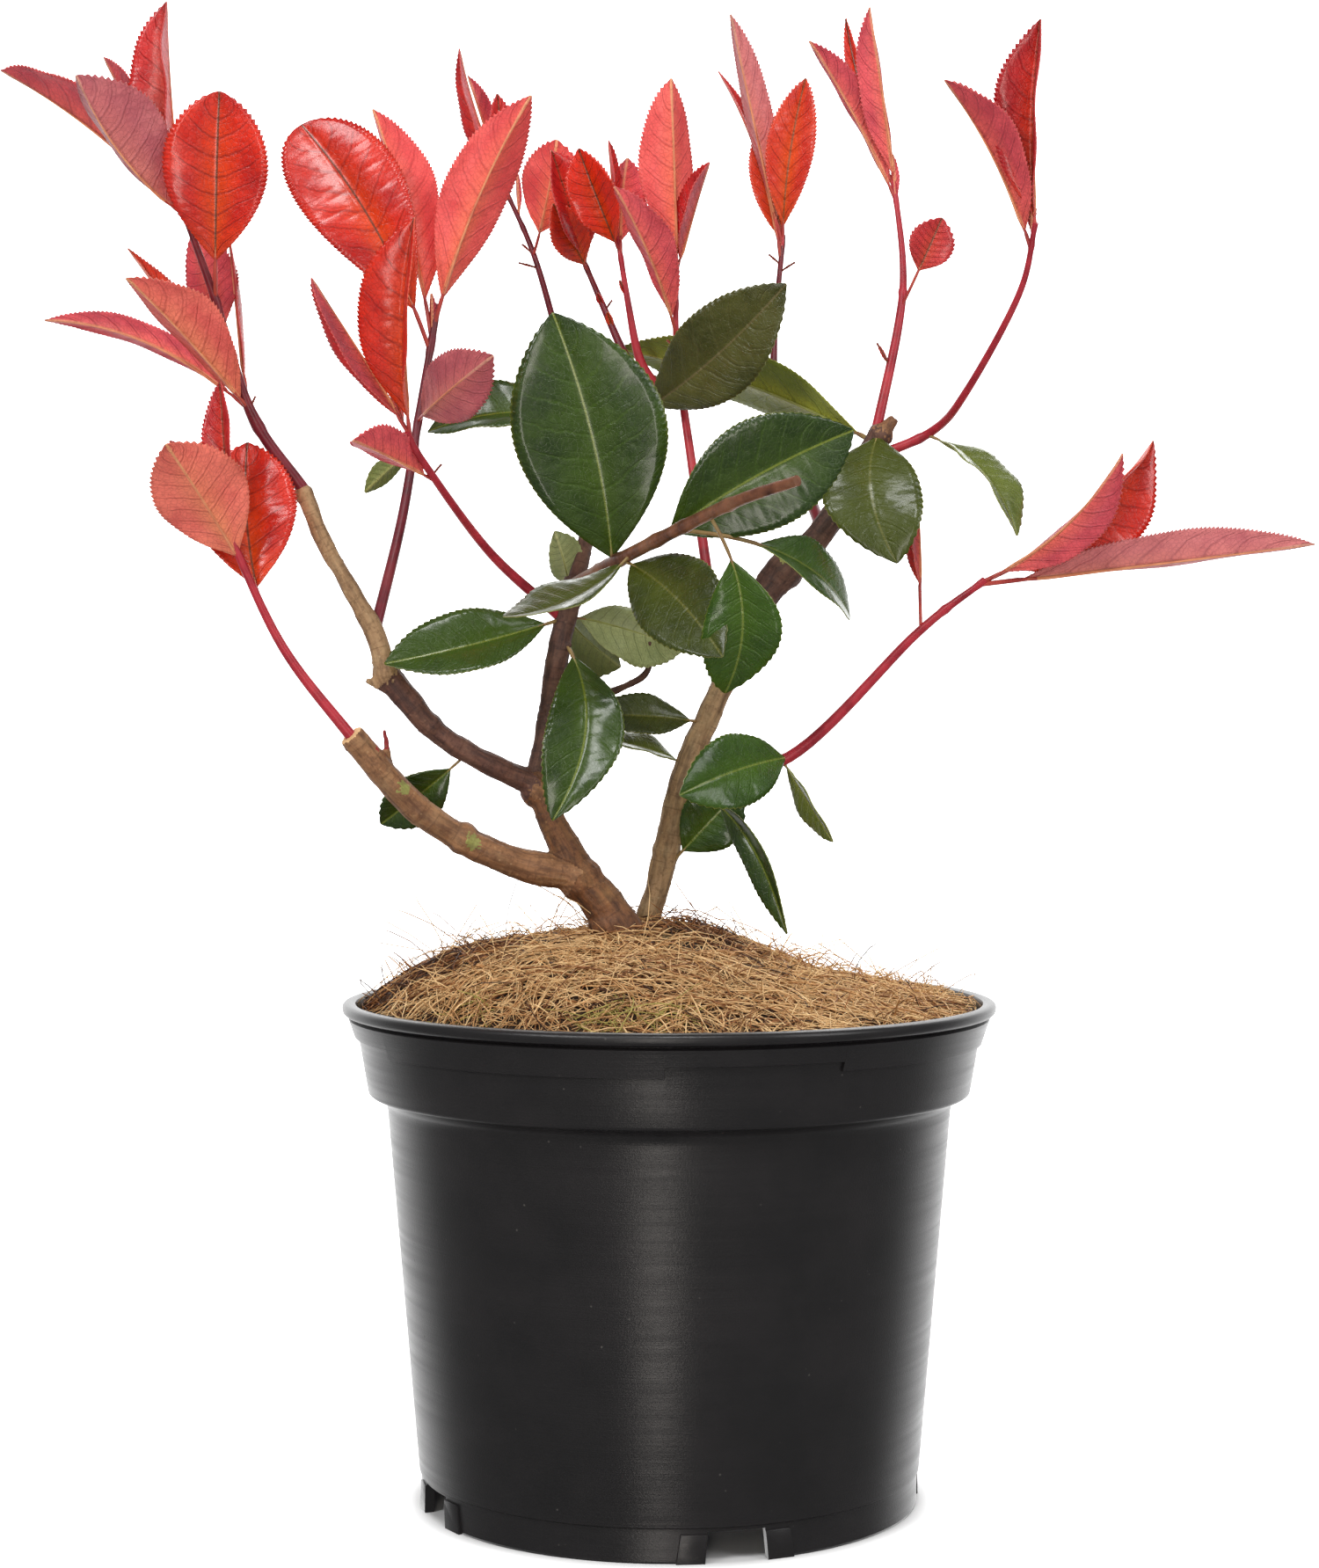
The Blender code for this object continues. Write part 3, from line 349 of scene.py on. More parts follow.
# Old leaves that grow straight on a limb: name, the limb that carries it, and the leaf
SINGLE_LEAVES = (
    ("upper_green_leaf", "back_bough", Leaf("dusky_green", 0.82, 83, -40, 31, 33, 0, 12, 0.05, 0.04, 0.12)),
    ("behind_left_leaf", "back_bough", Leaf("deep_green", 0.75, 73, 179, 0, 26, 45, 22, 0.13, 0, 0.25)),
    ("long_yellow_leaf", "right_bough", Leaf("yellow_green", 0.95, 119, 145, 20, 29, 128, 12, 0.05, 0, 0.06)),
    ("node_leaf", "right_bough", Leaf("olive", 1.00, 54, -80, -64, 35, 0, 6, 0.10, 0.12, 0.06)),
    (
        "left_green_leaf", "middle_bough",
        Leaf("deep_green", 0.80, 68, -159, -14, 26, 28, 16, 0.05, -0.045, 0.12),
    ),
    ("hanging_leaf", "middle_bough", Leaf("deep_green", 0.71, 69, -95, -68, 28, 2, 12, 0.08, -0.15, 0.12)),
    ("small_pale_leaf", "middle_bough", Leaf("pale_green", 0.91, 29, 111, 54, 15, 150, 12, 0.05, 0, 0.2)),
    ("pale_leaf_right", "middle_bough", Leaf("pale_green", 0.81, 46, 23, -15, 24, 146, 12, -0.05, 0, 0.1)),
    ("pale_leaf_low", "middle_bough", Leaf("pale_green", 0.80, 34, 50, -30, 22, 150, 12, 0.05, 0, 0.1)),
    ("inner_leaf_upper", "right_stem", Leaf("olive", 0.80, 42, -158, 4, 17, 30, 12, 0.05, 0, 0.15)),
    ("inner_leaf_lower", "right_stem", Leaf("pale_green", 0.65, 31, -165, 18, 16, 66, 15, 0.05, 0, 0.15)),
    ("base_leaf", "right_stem", Leaf("fresh_green", 0.29, 42, -16, 46, 23, 0, 8, 0.04, 0, 0.28)),
    ("low_hanging_leaf", "right_stem", Leaf("deep_green", 0.59, 73, -47, -44, 13, 40, 20, 0.06, -0.19, 0.3)),
    ("shaded_left_leaf", "left_bough", Leaf("deep_green", 0.42, 41, 166, -38, 20, -20, 14, 0.05, 0, 0.2)),
)

# Each tint of leaf: the colours of its upper face and of its underside, then its gloss
FINISHES = {
    "crimson": Finish(
        Face((214, 44, 42), (174, 22, 28), (224, 74, 36), (128, 16, 20), (120, 60, 34), (180, 54, 44)),
        Face((226, 88, 94), (190, 64, 76), (236, 108, 84), (136, 44, 56), (222, 150, 116), (214, 100, 92)),
        0.45,
    ),
    "mauve": Finish(
        Face((206, 60, 60), (170, 36, 44), (216, 84, 56), (126, 30, 34), (130, 76, 54), (176, 66, 58)),
        Face((208, 118, 118), (178, 88, 96), (214, 124, 108), (144, 70, 78), (206, 148, 128),
             (190, 104, 98)),
        0.35,
    ),
    "rose": Finish(
        Face((226, 58, 46), (196, 34, 34), (234, 92, 44), (142, 24, 24), (132, 70, 36), (190, 64, 48)),
        Face((248, 104, 98), (224, 78, 78), (250, 128, 88), (168, 56, 58), (236, 168, 124), (226, 106, 92)),
        0.45,
    ),
    "scarlet": Finish(
        Face((222, 40, 10), (186, 20, 10), (230, 84, 12), (128, 14, 8), (84, 44, 14), (150, 42, 20)),
        Face((240, 84, 64), (212, 60, 54), (246, 112, 62), (146, 42, 42), (222, 142, 92), (218, 98, 72)),
        0.60,
    ),
    "coral": Finish(
        Face((228, 72, 40), (204, 46, 34), (236, 108, 40), (150, 34, 24), (140, 78, 36), (196, 74, 44)),
        Face((234, 118, 100), (214, 90, 82), (230, 142, 96), (158, 60, 54), (220, 156, 110),
             (212, 116, 90)),
        0.45,
    ),
    "deep_green": Finish(
        Face((50, 74, 4), (32, 54, 4), (66, 90, 6), (62, 88, 12), (112, 124, 36), (116, 124, 40)),
        Face((122, 128, 72), (100, 110, 56), (134, 138, 76), (80, 94, 42), (152, 152, 88), (134, 138, 78)),
        0.60,
    ),
    "fresh_green": Finish(
        Face((52, 84, 4), (36, 64, 4), (70, 100, 6), (62, 94, 14), (112, 128, 44), (122, 132, 44)),
        Face((126, 136, 74), (106, 118, 58), (140, 146, 80), (88, 102, 48), (158, 160, 94), (142, 146, 82)),
        0.5,
    ),
    "dusky_green": Finish(
        Face((78, 80, 34), (56, 60, 24), (84, 86, 36), (88, 88, 46), (108, 98, 62), (116, 114, 50)),
        Face((124, 130, 80), (104, 110, 62), (134, 138, 84), (88, 94, 50), (152, 152, 96), (136, 138, 84)),
        0.40,
    ),
    "olive": Finish(
        Face((66, 76, 12), (48, 58, 8), (76, 84, 14), (74, 84, 22), (96, 98, 36), (118, 118, 40)),
        Face((124, 130, 76), (104, 110, 60), (134, 138, 80), (88, 94, 50), (152, 152, 92), (136, 138, 80)),
        0.35,
    ),
    "pale_green": Finish(
        Face((98, 110, 40), (74, 86, 28), (114, 124, 46), (124, 134, 62), (156, 160, 84), (146, 150, 76)),
        Face((150, 158, 106), (126, 136, 84), (156, 162, 108), (104, 114, 68), (172, 174, 118),
             (158, 160, 104)),
        0.4,
    ),
    "yellow_green": Finish(
        Face((104, 114, 30), (80, 92, 24), (134, 136, 34), (128, 134, 50), (158, 160, 68), (148, 148, 56)),
        Face((132, 142, 56), (108, 120, 42), (160, 160, 54), (98, 108, 40), (164, 164, 78), (156, 156, 60)),
        0.4,
    ),
}
GREEN_TINTS = ("deep_green", "fresh_green", "dusky_green", "olive", "pale_green", "yellow_green")

# Young stems, petioles and midribs: the skin, its dark streaks and its pale patches
STEM_PAINTS = {
    "red_stem": ((176, 42, 56), (128, 24, 38), (200, 84, 80)),
    "wine_stem": ((116, 28, 42), (72, 14, 26), (150, 62, 60)),
    "brown_twig": ((128, 82, 58), (58, 30, 24), (176, 134, 100)),
    "red_petiole": ((184, 70, 62), (140, 42, 46), (206, 124, 86)),
    "red_midrib": ((222, 146, 104), (192, 104, 78), (234, 176, 128)),
    "green_petiole": ((146, 122, 74), (120, 78, 56), (164, 160, 92)),
    "green_midrib": ((140, 144, 80), (112, 118, 60), (164, 166, 100)),
}

# Barks: the body of the bark, its cracks, and its pale worn skin
BARKS = {
    "brown_bark": ((124, 80, 48), (56, 34, 22), (172, 128, 82)),
    "tan_bark": ((150, 106, 70), (88, 56, 36), (190, 154, 112)),
    "grey_bark": ((168, 134, 96), (104, 76, 50), (208, 182, 142)),
    "dark_bark": ((96, 64, 52), (46, 30, 26), (142, 106, 86)),
    "red_bark": ((108, 70, 56), (56, 34, 30), (152, 112, 90)),
    "olive_bark": ((170, 138, 100), (98, 76, 52), (206, 184, 142)),
    "cut_wood": ((232, 190, 136), (204, 158, 106), (240, 210, 162)),
    "green_scar": ((150, 152, 80), (112, 104, 58), (186, 186, 116)),
    "red_bud": ((150, 40, 42), (104, 26, 30), (190, 84, 72)),
}
LIMB_BARKS = {
    "trunk": "brown_bark", "fork_stem": "brown_bark", "low_left_bough": "tan_bark", "left_bough": "red_bark",
    "left_bough_top": "grey_bark", "middle_bough": "dark_bark", "back_bough": "dark_bark",
    "bent_twig": "dark_bark", "right_stem": "olive_bark", "right_bough": "dark_bark",
}

# Coir fibres: the fibre and its dark streaks
COIR_PAINTS = {
    "coir_golden": ((252, 216, 160), (216, 172, 118)),
    "coir_tan": ((228, 178, 120), (178, 128, 80)),
    "coir_brown": ((170, 112, 66), (112, 70, 40)),
    "coir_dark": ((92, 56, 34), (46, 28, 18)),
    "coir_mossy": ((196, 182, 100), (150, 136, 72)),
}

# Patches of the mat: centre, how much wider than deep, and half the depth
DARK_PATCHES = ((10, 2, 1.0, 19), (-80, -12, 1.3, 27))
MOSSY_PATCHES = ((-68, -78, 1.0, 12), (-12, -96, 2.4, 8))

# The finishes that a fibre can have, by their numbers in the table above, and how common each is
USUAL_MIX = ((0, 1, 2, 3), (13, 5, 2, 1))
DARK_MIX = ((0, 1, 2, 3), (1, 3, 5, 6))
MOSSY_MIX = ((0, 1, 2, 4), (3, 3, 1, 3))
# Painted shade: fibres lying lower than the lift below take this darker mix
PAINTED_SHADE_MIX = ((1, 2, 3), (3, 5, 4))
PAINTED_SHADE_LIFT = -0.2

# Small places on the bark with a finish of their own: finish, place and radius
BARK_SPOTS = (
    ("green_scar", (-68, -19, 232.5), 3.6), ("green_scar", (-91, -27, 252), 3.0),
    ("red_bud", (-98, -28, 270), 6.5), ("green_scar", (41, 7, 332), 2.4),
    ("tan_bark", (-46, -9, 250), 4.0), ("grey_bark", (-99, -22, 294), 7.0),
    ("tan_bark", (78, 9, 380), 7.0), ("tan_bark", (-6, 60, 401), 5.0),
)

# Stipules and small bracts: the shoot that carries them, and the leaf
BRACTS = (
    ("back_left_shoot", Leaf("crimson", 0.76, 8, -160, 12, 0.9, 0, 10, 0.10)),
    ("back_left_shoot", Leaf("crimson", 0.80, 7, 150, 40, 0.9, 0, 10, 0.20)),
    ("back_shoot", Leaf("crimson", 0.62, 6, -150, 62, 3.0, -30, 25)),
    ("back_shoot", Leaf("coral", 0.46, 7, -140, 66, 3.4, -30, 25)),
    ("back_shoot", Leaf("crimson", 0.60, 5, -40, 46, 0.8, 0, 10, 0.1)),
    ("upright_shoot", Leaf("scarlet", 0.60, 7, -170, 66, 2.2, 20, 20)),
    ("tall_middle_shoot", Leaf("crimson", 0.80, 5, -160, 40, 0.8, 0, 10, 0.1)),
    ("tall_right_shoot", Leaf("crimson", 0.92, 6, -170, 40, 0.9, 0, 10, 0.1)),
    ("tall_right_shoot", Leaf("crimson", 0.90, 7, -20, 30, 0.9, 0, 10, 0.1)),
    ("far_left_shoot", Leaf("crimson", 0.30, 5, -30, 60, 0.8, 0, 10, 0.1)),
    ("front_left_shoot", Leaf("crimson", 0.80, 5, 20, 50, 0.8, 0, 10, 0.1)),
    ("slim_right_shoot", Leaf("crimson", 0.27, 10, -165, 60, 1.5, 0, 10, 0.12)),
)


# Routes and rules shared with the solids

def smooth_route(points, steps):
    """Points on a smooth curve through the given ones, which may carry a radius as a fourth number."""
    points = [Vector(point) for point in points]
    ends = [2 * points[0] - points[1]] + points + [2 * points[-1] - points[-2]]
    curve = []
    for before, start, end, after in zip(ends, ends[1:], ends[2:], ends[3:]):
        for step in range(steps):
            t = step / steps
            curve.append(
                start
                + 0.5 * t * (end - before)
                + t * t * (before - 2.5 * start + 2 * end - 0.5 * after)
                + 0.5 * t ** 3 * (3 * start - 3 * end + after - before)
            )
    curve.append(points[-1])
    return curve


def point_on(curve, share):
    """The place at this share of the curve's length."""
    lengths = [(b - a).length for a, b in zip(curve, curve[1:])]
    left = share * sum(lengths)
    for start, end, length in zip(curve, curve[1:], lengths):
        if left <= length:
            return start.lerp(end, left / length)
        left -= length
    return curve[-1].copy()


def leaf_axes(leaf):
    """The leaf's directions along its midrib, across its blade and out of its upper face."""
    heading = math.radians(leaf.heading)
    rise = math.radians(leaf.rise)
    along = Vector((math.cos(rise) * math.cos(heading), math.cos(rise) * math.sin(heading), math.sin(rise)))
    front = Vector((0.0, -1.0, 0.0))
    front = (front - along * along.dot(front)).normalized()
    turn = math.radians(leaf.turn)
    face = front * math.cos(turn) + along.cross(front) * math.sin(turn)
    return along, along.cross(face), face


def midrib_point(leaf, base, axes, share):
    """A point on the midrib at this share of the leaf's length, counted from the foot of its petiole."""
    along, across, face = axes
    length = leaf.length * MM
    arch = 4 * share * (1 - share) * length
    return base + along * length * share + face * leaf.bow * arch + across * leaf.sway * arch


def blade_half_width(leaf, share):
    """Half the blade's width at this share of the blade's own length."""
    end_power = OUTLINE_POWER * (1 - leaf.widest) / leaf.widest
    full = leaf.width * MM / 2
    shape = (share / leaf.widest) ** OUTLINE_POWER * ((1 - share) / (1 - leaf.widest)) ** end_power
    return max(full * shape, LEAF_END_WIDTH * MM / 2)


def tip_leaves(count, chance):
    """Small leaves still opening round a shoot's tip, towards its back, by a seeded rule."""
    for number in range(count):
        yield Leaf(
            tint="crimson",
            at=chance.uniform(0.90, 0.98),
            length=chance.uniform(*TIP_LEAF_LENGTHS),
            heading=chance.uniform(95, 130) + number * 30,
            rise=chance.uniform(76, 86),
            width=chance.uniform(2.8, 4.2),
            turn=chance.uniform(120, 220),
            fold=chance.uniform(34, 46),
        )


def mulch_top(x, y):
    """Height of the mat's upper face in millimetres: a lumpy dome with a small heap by the stems."""
    reach = min(math.hypot(x, y) / MULCH_RADIUS, 1.0)
    lean = math.hypot(x - MULCH_CROWN[0], y - MULCH_CROWN[1]) / MULCH_RADIUS
    dome = (1.0 - reach ** 7) * math.exp(-MULCH_FALL * lean ** 2)
    from_heap = math.hypot(x - MULCH_HEAP[0], y - MULCH_HEAP[1]) / MULCH_HEAP_RADIUS
    heap = MULCH_HEAP_RISE * math.exp(-(from_heap ** 2))
    return MULCH_EDGE_TOP + (MULCH_CROWN_TOP - MULCH_EDGE_TOP) * dome + heap


# Making pieces

def add_piece(name, mesh, materials, nodes):
    """Links a mesh as a piece that rides on the pot, with its finishes and the solids that it stands for."""
    mesh.name = name
    for number, material in enumerate(materials):
        if number < len(mesh.materials):
            mesh.materials[number] = material
        else:
            mesh.materials.append(material)
    piece = bpy.data.objects.new(name, mesh)
    bpy.context.scene.collection.objects.link(piece)
    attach(piece, "root")
    if nodes:
        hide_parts(*nodes)
    return piece


def mesh_of(bm):
    mesh = bpy.data.meshes.new("piece")
    bm.to_mesh(mesh)
    bm.free()
    return mesh


def baked_mesh(thing):
    """The object's mesh with its bevel and modifiers applied. The object is removed."""
    depsgraph = bpy.context.evaluated_depsgraph_get()
    mesh = bpy.data.meshes.new_from_object(thing.evaluated_get(depsgraph))
    bpy.data.objects.remove(thing)
    return mesh


def triangle_profile():
    """A three-sided section for fibres."""
    curve = bpy.data.curves.new("fibre_section", "CURVE")
    curve.dimensions = "2D"
    spline = curve.splines.new("POLY")
    spline.points.add(2)
    for number, point in enumerate(spline.points):
        angle = math.tau * number / 3
        point.co = (math.cos(angle), math.sin(angle), 0.0, 1.0)
    spline.use_cyclic_u = True
    thing = bpy.data.objects.new("fibre_section", curve)
    bpy.context.scene.collection.objects.link(thing)
    return thing


def tubes_mesh(lines, sides=8, section=None):
    """Many tapering tubes as one mesh. A line is its points in metres, its radii and a material number."""
    curve = bpy.data.curves.new("tubes", "CURVE")
    curve.dimensions = "3D"
    curve.use_fill_caps = True
    for _ in range(1 + max(line[2] for line in lines)):
        curve.materials.append(None)
    if section:
        curve.bevel_mode = "OBJECT"
        curve.bevel_object = section
    else:
        curve.bevel_depth = 1.0
        curve.bevel_resolution = (sides - 4) // 2
    for points, radii, material_number in lines:
        spline = curve.splines.new("POLY")
        spline.material_index = material_number
        spline.points.add(len(points) - 1)
        for point, place, radius in zip(spline.points, points, radii):
            point.co = (*place, 1.0)
            point.radius = radius
    thing = bpy.data.objects.new("tubes", curve)
    bpy.context.scene.collection.objects.link(thing)
    mesh = baked_mesh(thing)
    mesh.shade_smooth()
    return mesh


# Materials

def paint(red, green, blue):
    """A colour as the eye sees it, 0 to 255, made linear for the shaders."""
    def linear(value):
        share = value / 255
        return share / 12.92 if share <= 0.04045 else ((share + 0.055) / 1.055) ** 2.4
    return (linear(red), linear(green), linear(blue), 1.0)


def paints(shades):
    return [paint(*shade) for shade in shades]


class Nodes:
    """Adds nodes to one material and links them."""

    def __init__(self, name):
        self.material = bpy.data.materials.new(name)
        self.material.use_nodes = True
        self.tree = self.material.node_tree
        self.shader = self.tree.nodes["Principled BSDF"]
        self.place = self.tree.nodes.new("ShaderNodeTexCoord").outputs["Object"]

    def add(self, kind, inputs=None, **settings):
        node = self.tree.nodes.new("ShaderNode" + kind)
        for key, value in settings.items():
            setattr(node, key, value)
        for key, value in (inputs or {}).items():
            self.feed(node.inputs[key], value)
        return node

    def feed(self, socket, value):
        if isinstance(value, bpy.types.NodeSocket):
            self.tree.links.new(value, socket)
        else:
            socket.default_value = value

    def math(self, operation, first, second=0.0):
        return self.add("Math", {0: first, 1: second}, operation=operation).outputs[0]

    def plus(self, first, second):
        return self.math("ADD", first, second)

    def times(self, first, second):
        return self.math("MULTIPLY", first, second)

    def noise(self, scale, detail=3.0, roughness=0.55, vector=None):
        inputs = {"Vector": vector or self.place, "Scale": scale, "Detail": detail, "Roughness": roughness}
        return self.add("TexNoise", inputs).outputs["Fac"]

    def stretched(self, scale):
        """Object coordinates stretched by these amounts."""
        return self.add("Mapping", {"Vector": self.place, "Scale": scale}).outputs["Vector"]

    def ramp(self, value, low, high, bottom=0.0, top=1.0):
        """The value carried from one range to another, and held at its ends."""
        inputs = {"Value": value, "From Min": low, "From Max": high, "To Min": bottom, "To Max": top}
        return self.add("MapRange", inputs, clamp=True).outputs["Result"]

    def mix(self, share, first, second):
        node = self.add("Mix", data_type="RGBA")
        self.feed(node.inputs[0], share)
        self.feed(node.inputs[6], first)
        self.feed(node.inputs[7], second)
        return node.outputs[2]

    def attribute(self, name):
        return self.add("Attribute", attribute_name=name).outputs["Fac"]

    def bump(self, height, distance, strength=1.0):
        node = self.add("Bump", {"Height": height, "Distance": distance, "Strength": strength})
        self.feed(self.shader.inputs["Normal"], node.outputs["Normal"])

    def finish(self, colour, roughness, **others):
        self.feed(self.shader.inputs["Base Color"], colour)
        self.feed(self.shader.inputs["Roughness"], roughness)
        for key, value in others.items():
            self.feed(self.shader.inputs[key.replace("_", " ")], value)
        return self.material


def leaf_material(name, look, gloss, upper):
    """One face of a leaf: a midrib with a warm glow, leaning side veins, a fine net and a mottled blade."""
    n = Nodes(name)
    along = n.attribute("leaf_along")
    side = n.math("ABSOLUTE", n.attribute("leaf_across"))
    from_midrib = n.math("ABSOLUTE", n.attribute("leaf_offset"))
    tone = n.attribute("leaf_tone")
    lean = n.times(n.math("POWER", side, 1.25), VEIN_LEAN)
    drift = n.times(n.noise(45.0, 4.0), 0.12)
    phase = n.times(n.plus(n.math("SUBTRACT", along, lean), drift), VEIN_PAIRS)
    from_vein = n.math("PINGPONG", phase, 0.5)
    vein_width = n.ramp(side, 0.0, 0.9, 0.13, 0.05)
    vein = n.ramp(n.math("DIVIDE", from_vein, vein_width), 0.0, 1.0, 1.0, 0.0)
    vein = n.times(vein, n.ramp(side, 0.65, 1.0, 1.0, 0.2))
    between = n.ramp(n.math("ABSOLUTE", n.math("SUBTRACT", from_vein, 0.25)), 0.0, 0.03, 1.0, 0.0)
    midrib = n.ramp(from_midrib, 0.22 * MM, 0.50 * MM, 1.0, 0.0)
    glow = n.times(n.ramp(side, 0.04, 0.5, 1.0, 0.0), n.ramp(along, 0.25, 0.95, 1.0, 0.2))
    base_glow = n.ramp(along, 0.0, 0.28, 0.75, 0.0)
    margin = n.ramp(side, 0.965, 1.0)
    net = n.add("TexVoronoi", {"Vector": n.place, "Scale": 620.0}, feature="DISTANCE_TO_EDGE")
    net_line = n.ramp(net.outputs["Distance"], 0.0, 0.12, 1.0, 0.0)
    cells = n.add("TexVoronoi", {"Vector": n.place, "Scale": PUCKER_SCALE}, feature="SMOOTH_F1")
    pucker = cells.outputs["Distance"]
    mottle = n.plus(n.noise(80.0, 4.0), n.times(n.math("SUBTRACT", tone, 0.5), 0.3))
    blade = n.mix(n.ramp(mottle, 0.36, 0.64), look.deep, look.blade)
    blade = n.mix(n.times(n.math("MAXIMUM", glow, base_glow), 0.7), blade, look.glow)
    blade = n.mix(n.times(net_line, 0.26 if upper else 0.30), blade, look.vein)
    blade = n.mix(n.times(between, 0.20 if upper else 0.24), blade, look.vein)
    blade = n.mix(n.times(vein, 0.55 if upper else 0.42), blade, look.vein)
    blade = n.mix(n.times(midrib, 0.85), blade, look.midrib)
    blade = n.mix(n.times(margin, 0.6), blade, look.margin)
    sign = -1.0 if upper else 1.0
    lines = n.plus(n.times(net_line, 0.30), n.plus(vein, n.times(between, 0.4)))
    relief = n.plus(n.times(lines, sign), n.times(pucker, -1.6 * sign))
    relief = n.plus(relief, n.times(n.noise(700.0, 2.0), 0.2))
    n.bump(relief, 0.24 * MM, 0.9)
    shine = n.ramp(n.noise(160.0, 2.0), 0.3, 0.7, 0.30 if upper else 0.46, 0.44 if upper else 0.60)
    return n.finish(
        blade, shine, Specular_IOR_Level=0.32, Coat_Weight=gloss if upper else 0.06, Coat_Roughness=0.19
    )


def stem_material(name, colour, dark, pale, roughness=0.05):
    """Young bark: a mottled skin with a few tiny pale pores, and its roughness in millimetres."""
    n = Nodes(name)
    streaks = n.noise(150.0, 3.0)
    skin = n.mix(n.ramp(streaks, 0.25, 0.60), dark, colour)
    skin = n.mix(n.ramp(n.noise(60.0, 3.0), 0.50, 0.78, 0.0, 0.35), skin, pale)
    pores = n.add("TexVoronoi", {"Vector": n.place, "Scale": 420.0}).outputs["Distance"]
    skin = n.mix(n.ramp(pores, 0.06, 0.14, 0.2, 0.0), skin, pale)
    n.bump(n.noise(700.0, 2.0), roughness * MM, 0.4)
    shine = n.ramp(streaks, 0.3, 0.7, 0.34, 0.46)
    return n.finish(skin, shine, Specular_IOR_Level=0.35, Coat_Weight=0.08, Coat_Roughness=0.3)


def bark_material(name, colour, dark, pale):
    """Old bark: long cracks along the limb, fine ring lines and a paler worn skin."""
    n = Nodes(name)
    grain = n.add("Attribute", attribute_name="bark_place").outputs["Vector"]
    long_grain = n.add("Mapping", {"Vector": grain, "Scale": (520.0, 520.0, 70.0)}).outputs["Vector"]
    rings = n.add("Mapping", {"Vector": grain, "Scale": (90.0, 90.0, 900.0)}).outputs["Vector"]
    cracks = n.noise(1.0, 6.0, 0.62, long_grain)
    ring_lines = n.noise(1.0, 3.0, 0.5, rings)
    scales = n.noise(90.0, 5.0, 0.65)
    skin = n.mix(n.ramp(cracks, 0.34, 0.58, 0.15, 1.0), dark, colour)
    skin = n.mix(n.ramp(n.noise(520.0, 5.0, 0.7), 0.50, 0.62, 0.0, 0.5), skin, dark)
    skin = n.mix(n.ramp(scales, 0.48, 0.74, 0.0, 0.5), skin, pale)
    skin = n.mix(n.ramp(ring_lines, 0.58, 0.70, 0.0, 0.45), skin, dark)
    pores = n.add("TexVoronoi", {"Vector": n.place, "Scale": 260.0}).outputs["Distance"]
    skin = n.mix(n.ramp(pores, 0.07, 0.14, 0.35, 0.0), skin, pale)
    relief = n.plus(cracks, n.times(ring_lines, 0.5))
    n.bump(n.plus(relief, n.times(n.noise(1100.0, 3.0), 0.6)), 0.42 * MM, 0.8)
    return n.finish(skin, n.ramp(scales, 0.3, 0.7, 0.62, 0.85))


def fibre_material(name, colour, dark):
    n = Nodes(name)
    tone = n.ramp(n.noise(260.0, 3.0), 0.35, 0.68)
    return n.finish(n.mix(tone, dark, colour), n.ramp(tone, 0.0, 1.0, 0.75, 0.6), Specular_IOR_Level=0.35)


def mat_material_with_painted_shade():
    """The felted coir under the loose fibres: raised strands in coir brown, hollows painted near black as
    shade.
    """
    n = Nodes("coir_mat_finish")
    strands = n.noise(1.0, 5.0, 0.65, n.stretched((260.0, 900.0, 500.0)))
    crossing = n.noise(1.0, 5.0, 0.65, n.stretched((900.0, 240.0, 500.0)))
    tangle = n.math("MAXIMUM", strands, crossing)
    # Painted shade: near-black hollows of the tangle, coir brown on its raised strands
    colour = n.mix(n.ramp(tangle, 0.50, 0.78), paint(30, 18, 11), paint(110, 78, 48))
    n.bump(tangle, 1.2 * MM, 1.0)
    return n.finish(colour, n.ramp(tangle, 0.4, 0.7, 0.95, 0.8))


def soil_material():
    n = Nodes("compost_finish")
    crumbs = n.noise(420.0, 6.0, 0.7)
    colour = n.mix(n.ramp(crumbs, 0.4, 0.65), paint(24, 18, 14), paint(74, 56, 42))
    n.bump(crumbs, 1.5 * MM, 1.0)
    return n.finish(colour, n.ramp(crumbs, 0.4, 0.7, 0.98, 0.85))


def pot_material():
    """Moulded black plastic with a satin skin, fine turned streaks and dust specks."""
    n = Nodes("pot_plastic_finish")
    streaks = n.noise(1.0, 4.0, 0.6, n.stretched((8.0, 8.0, 420.0)))
    patches = n.noise(38.0, 4.0)
    black = n.mix(n.ramp(patches, 0.35, 0.7), paint(27, 26, 27), paint(34, 32, 33))
    specks = n.add("TexVoronoi", {"Vector": n.place, "Scale": 260.0}, feature="F1").outputs["Distance"]
    few = n.ramp(n.noise(90.0, 2.0), 0.60, 0.64)
    dust = n.times(n.ramp(specks, 0.06, 0.12, 1.0, 0.0), few)
    colour = n.mix(n.times(dust, 0.5), black, paint(96, 92, 88))
    grooves = n.noise(1.0, 3.0, 0.6, n.stretched((5.0, 5.0, 2400.0)))
    grain = n.plus(n.times(streaks, 0.8), n.plus(grooves, n.noise(1600.0, 2.0)))
    n.bump(grain, 0.06 * MM, 0.8)
    rough = n.plus(n.ramp(streaks, 0.3, 0.7, 0.30, 0.38), n.times(dust, 0.3))
    return n.finish(colour, rough, Specular_IOR_Level=0.42)


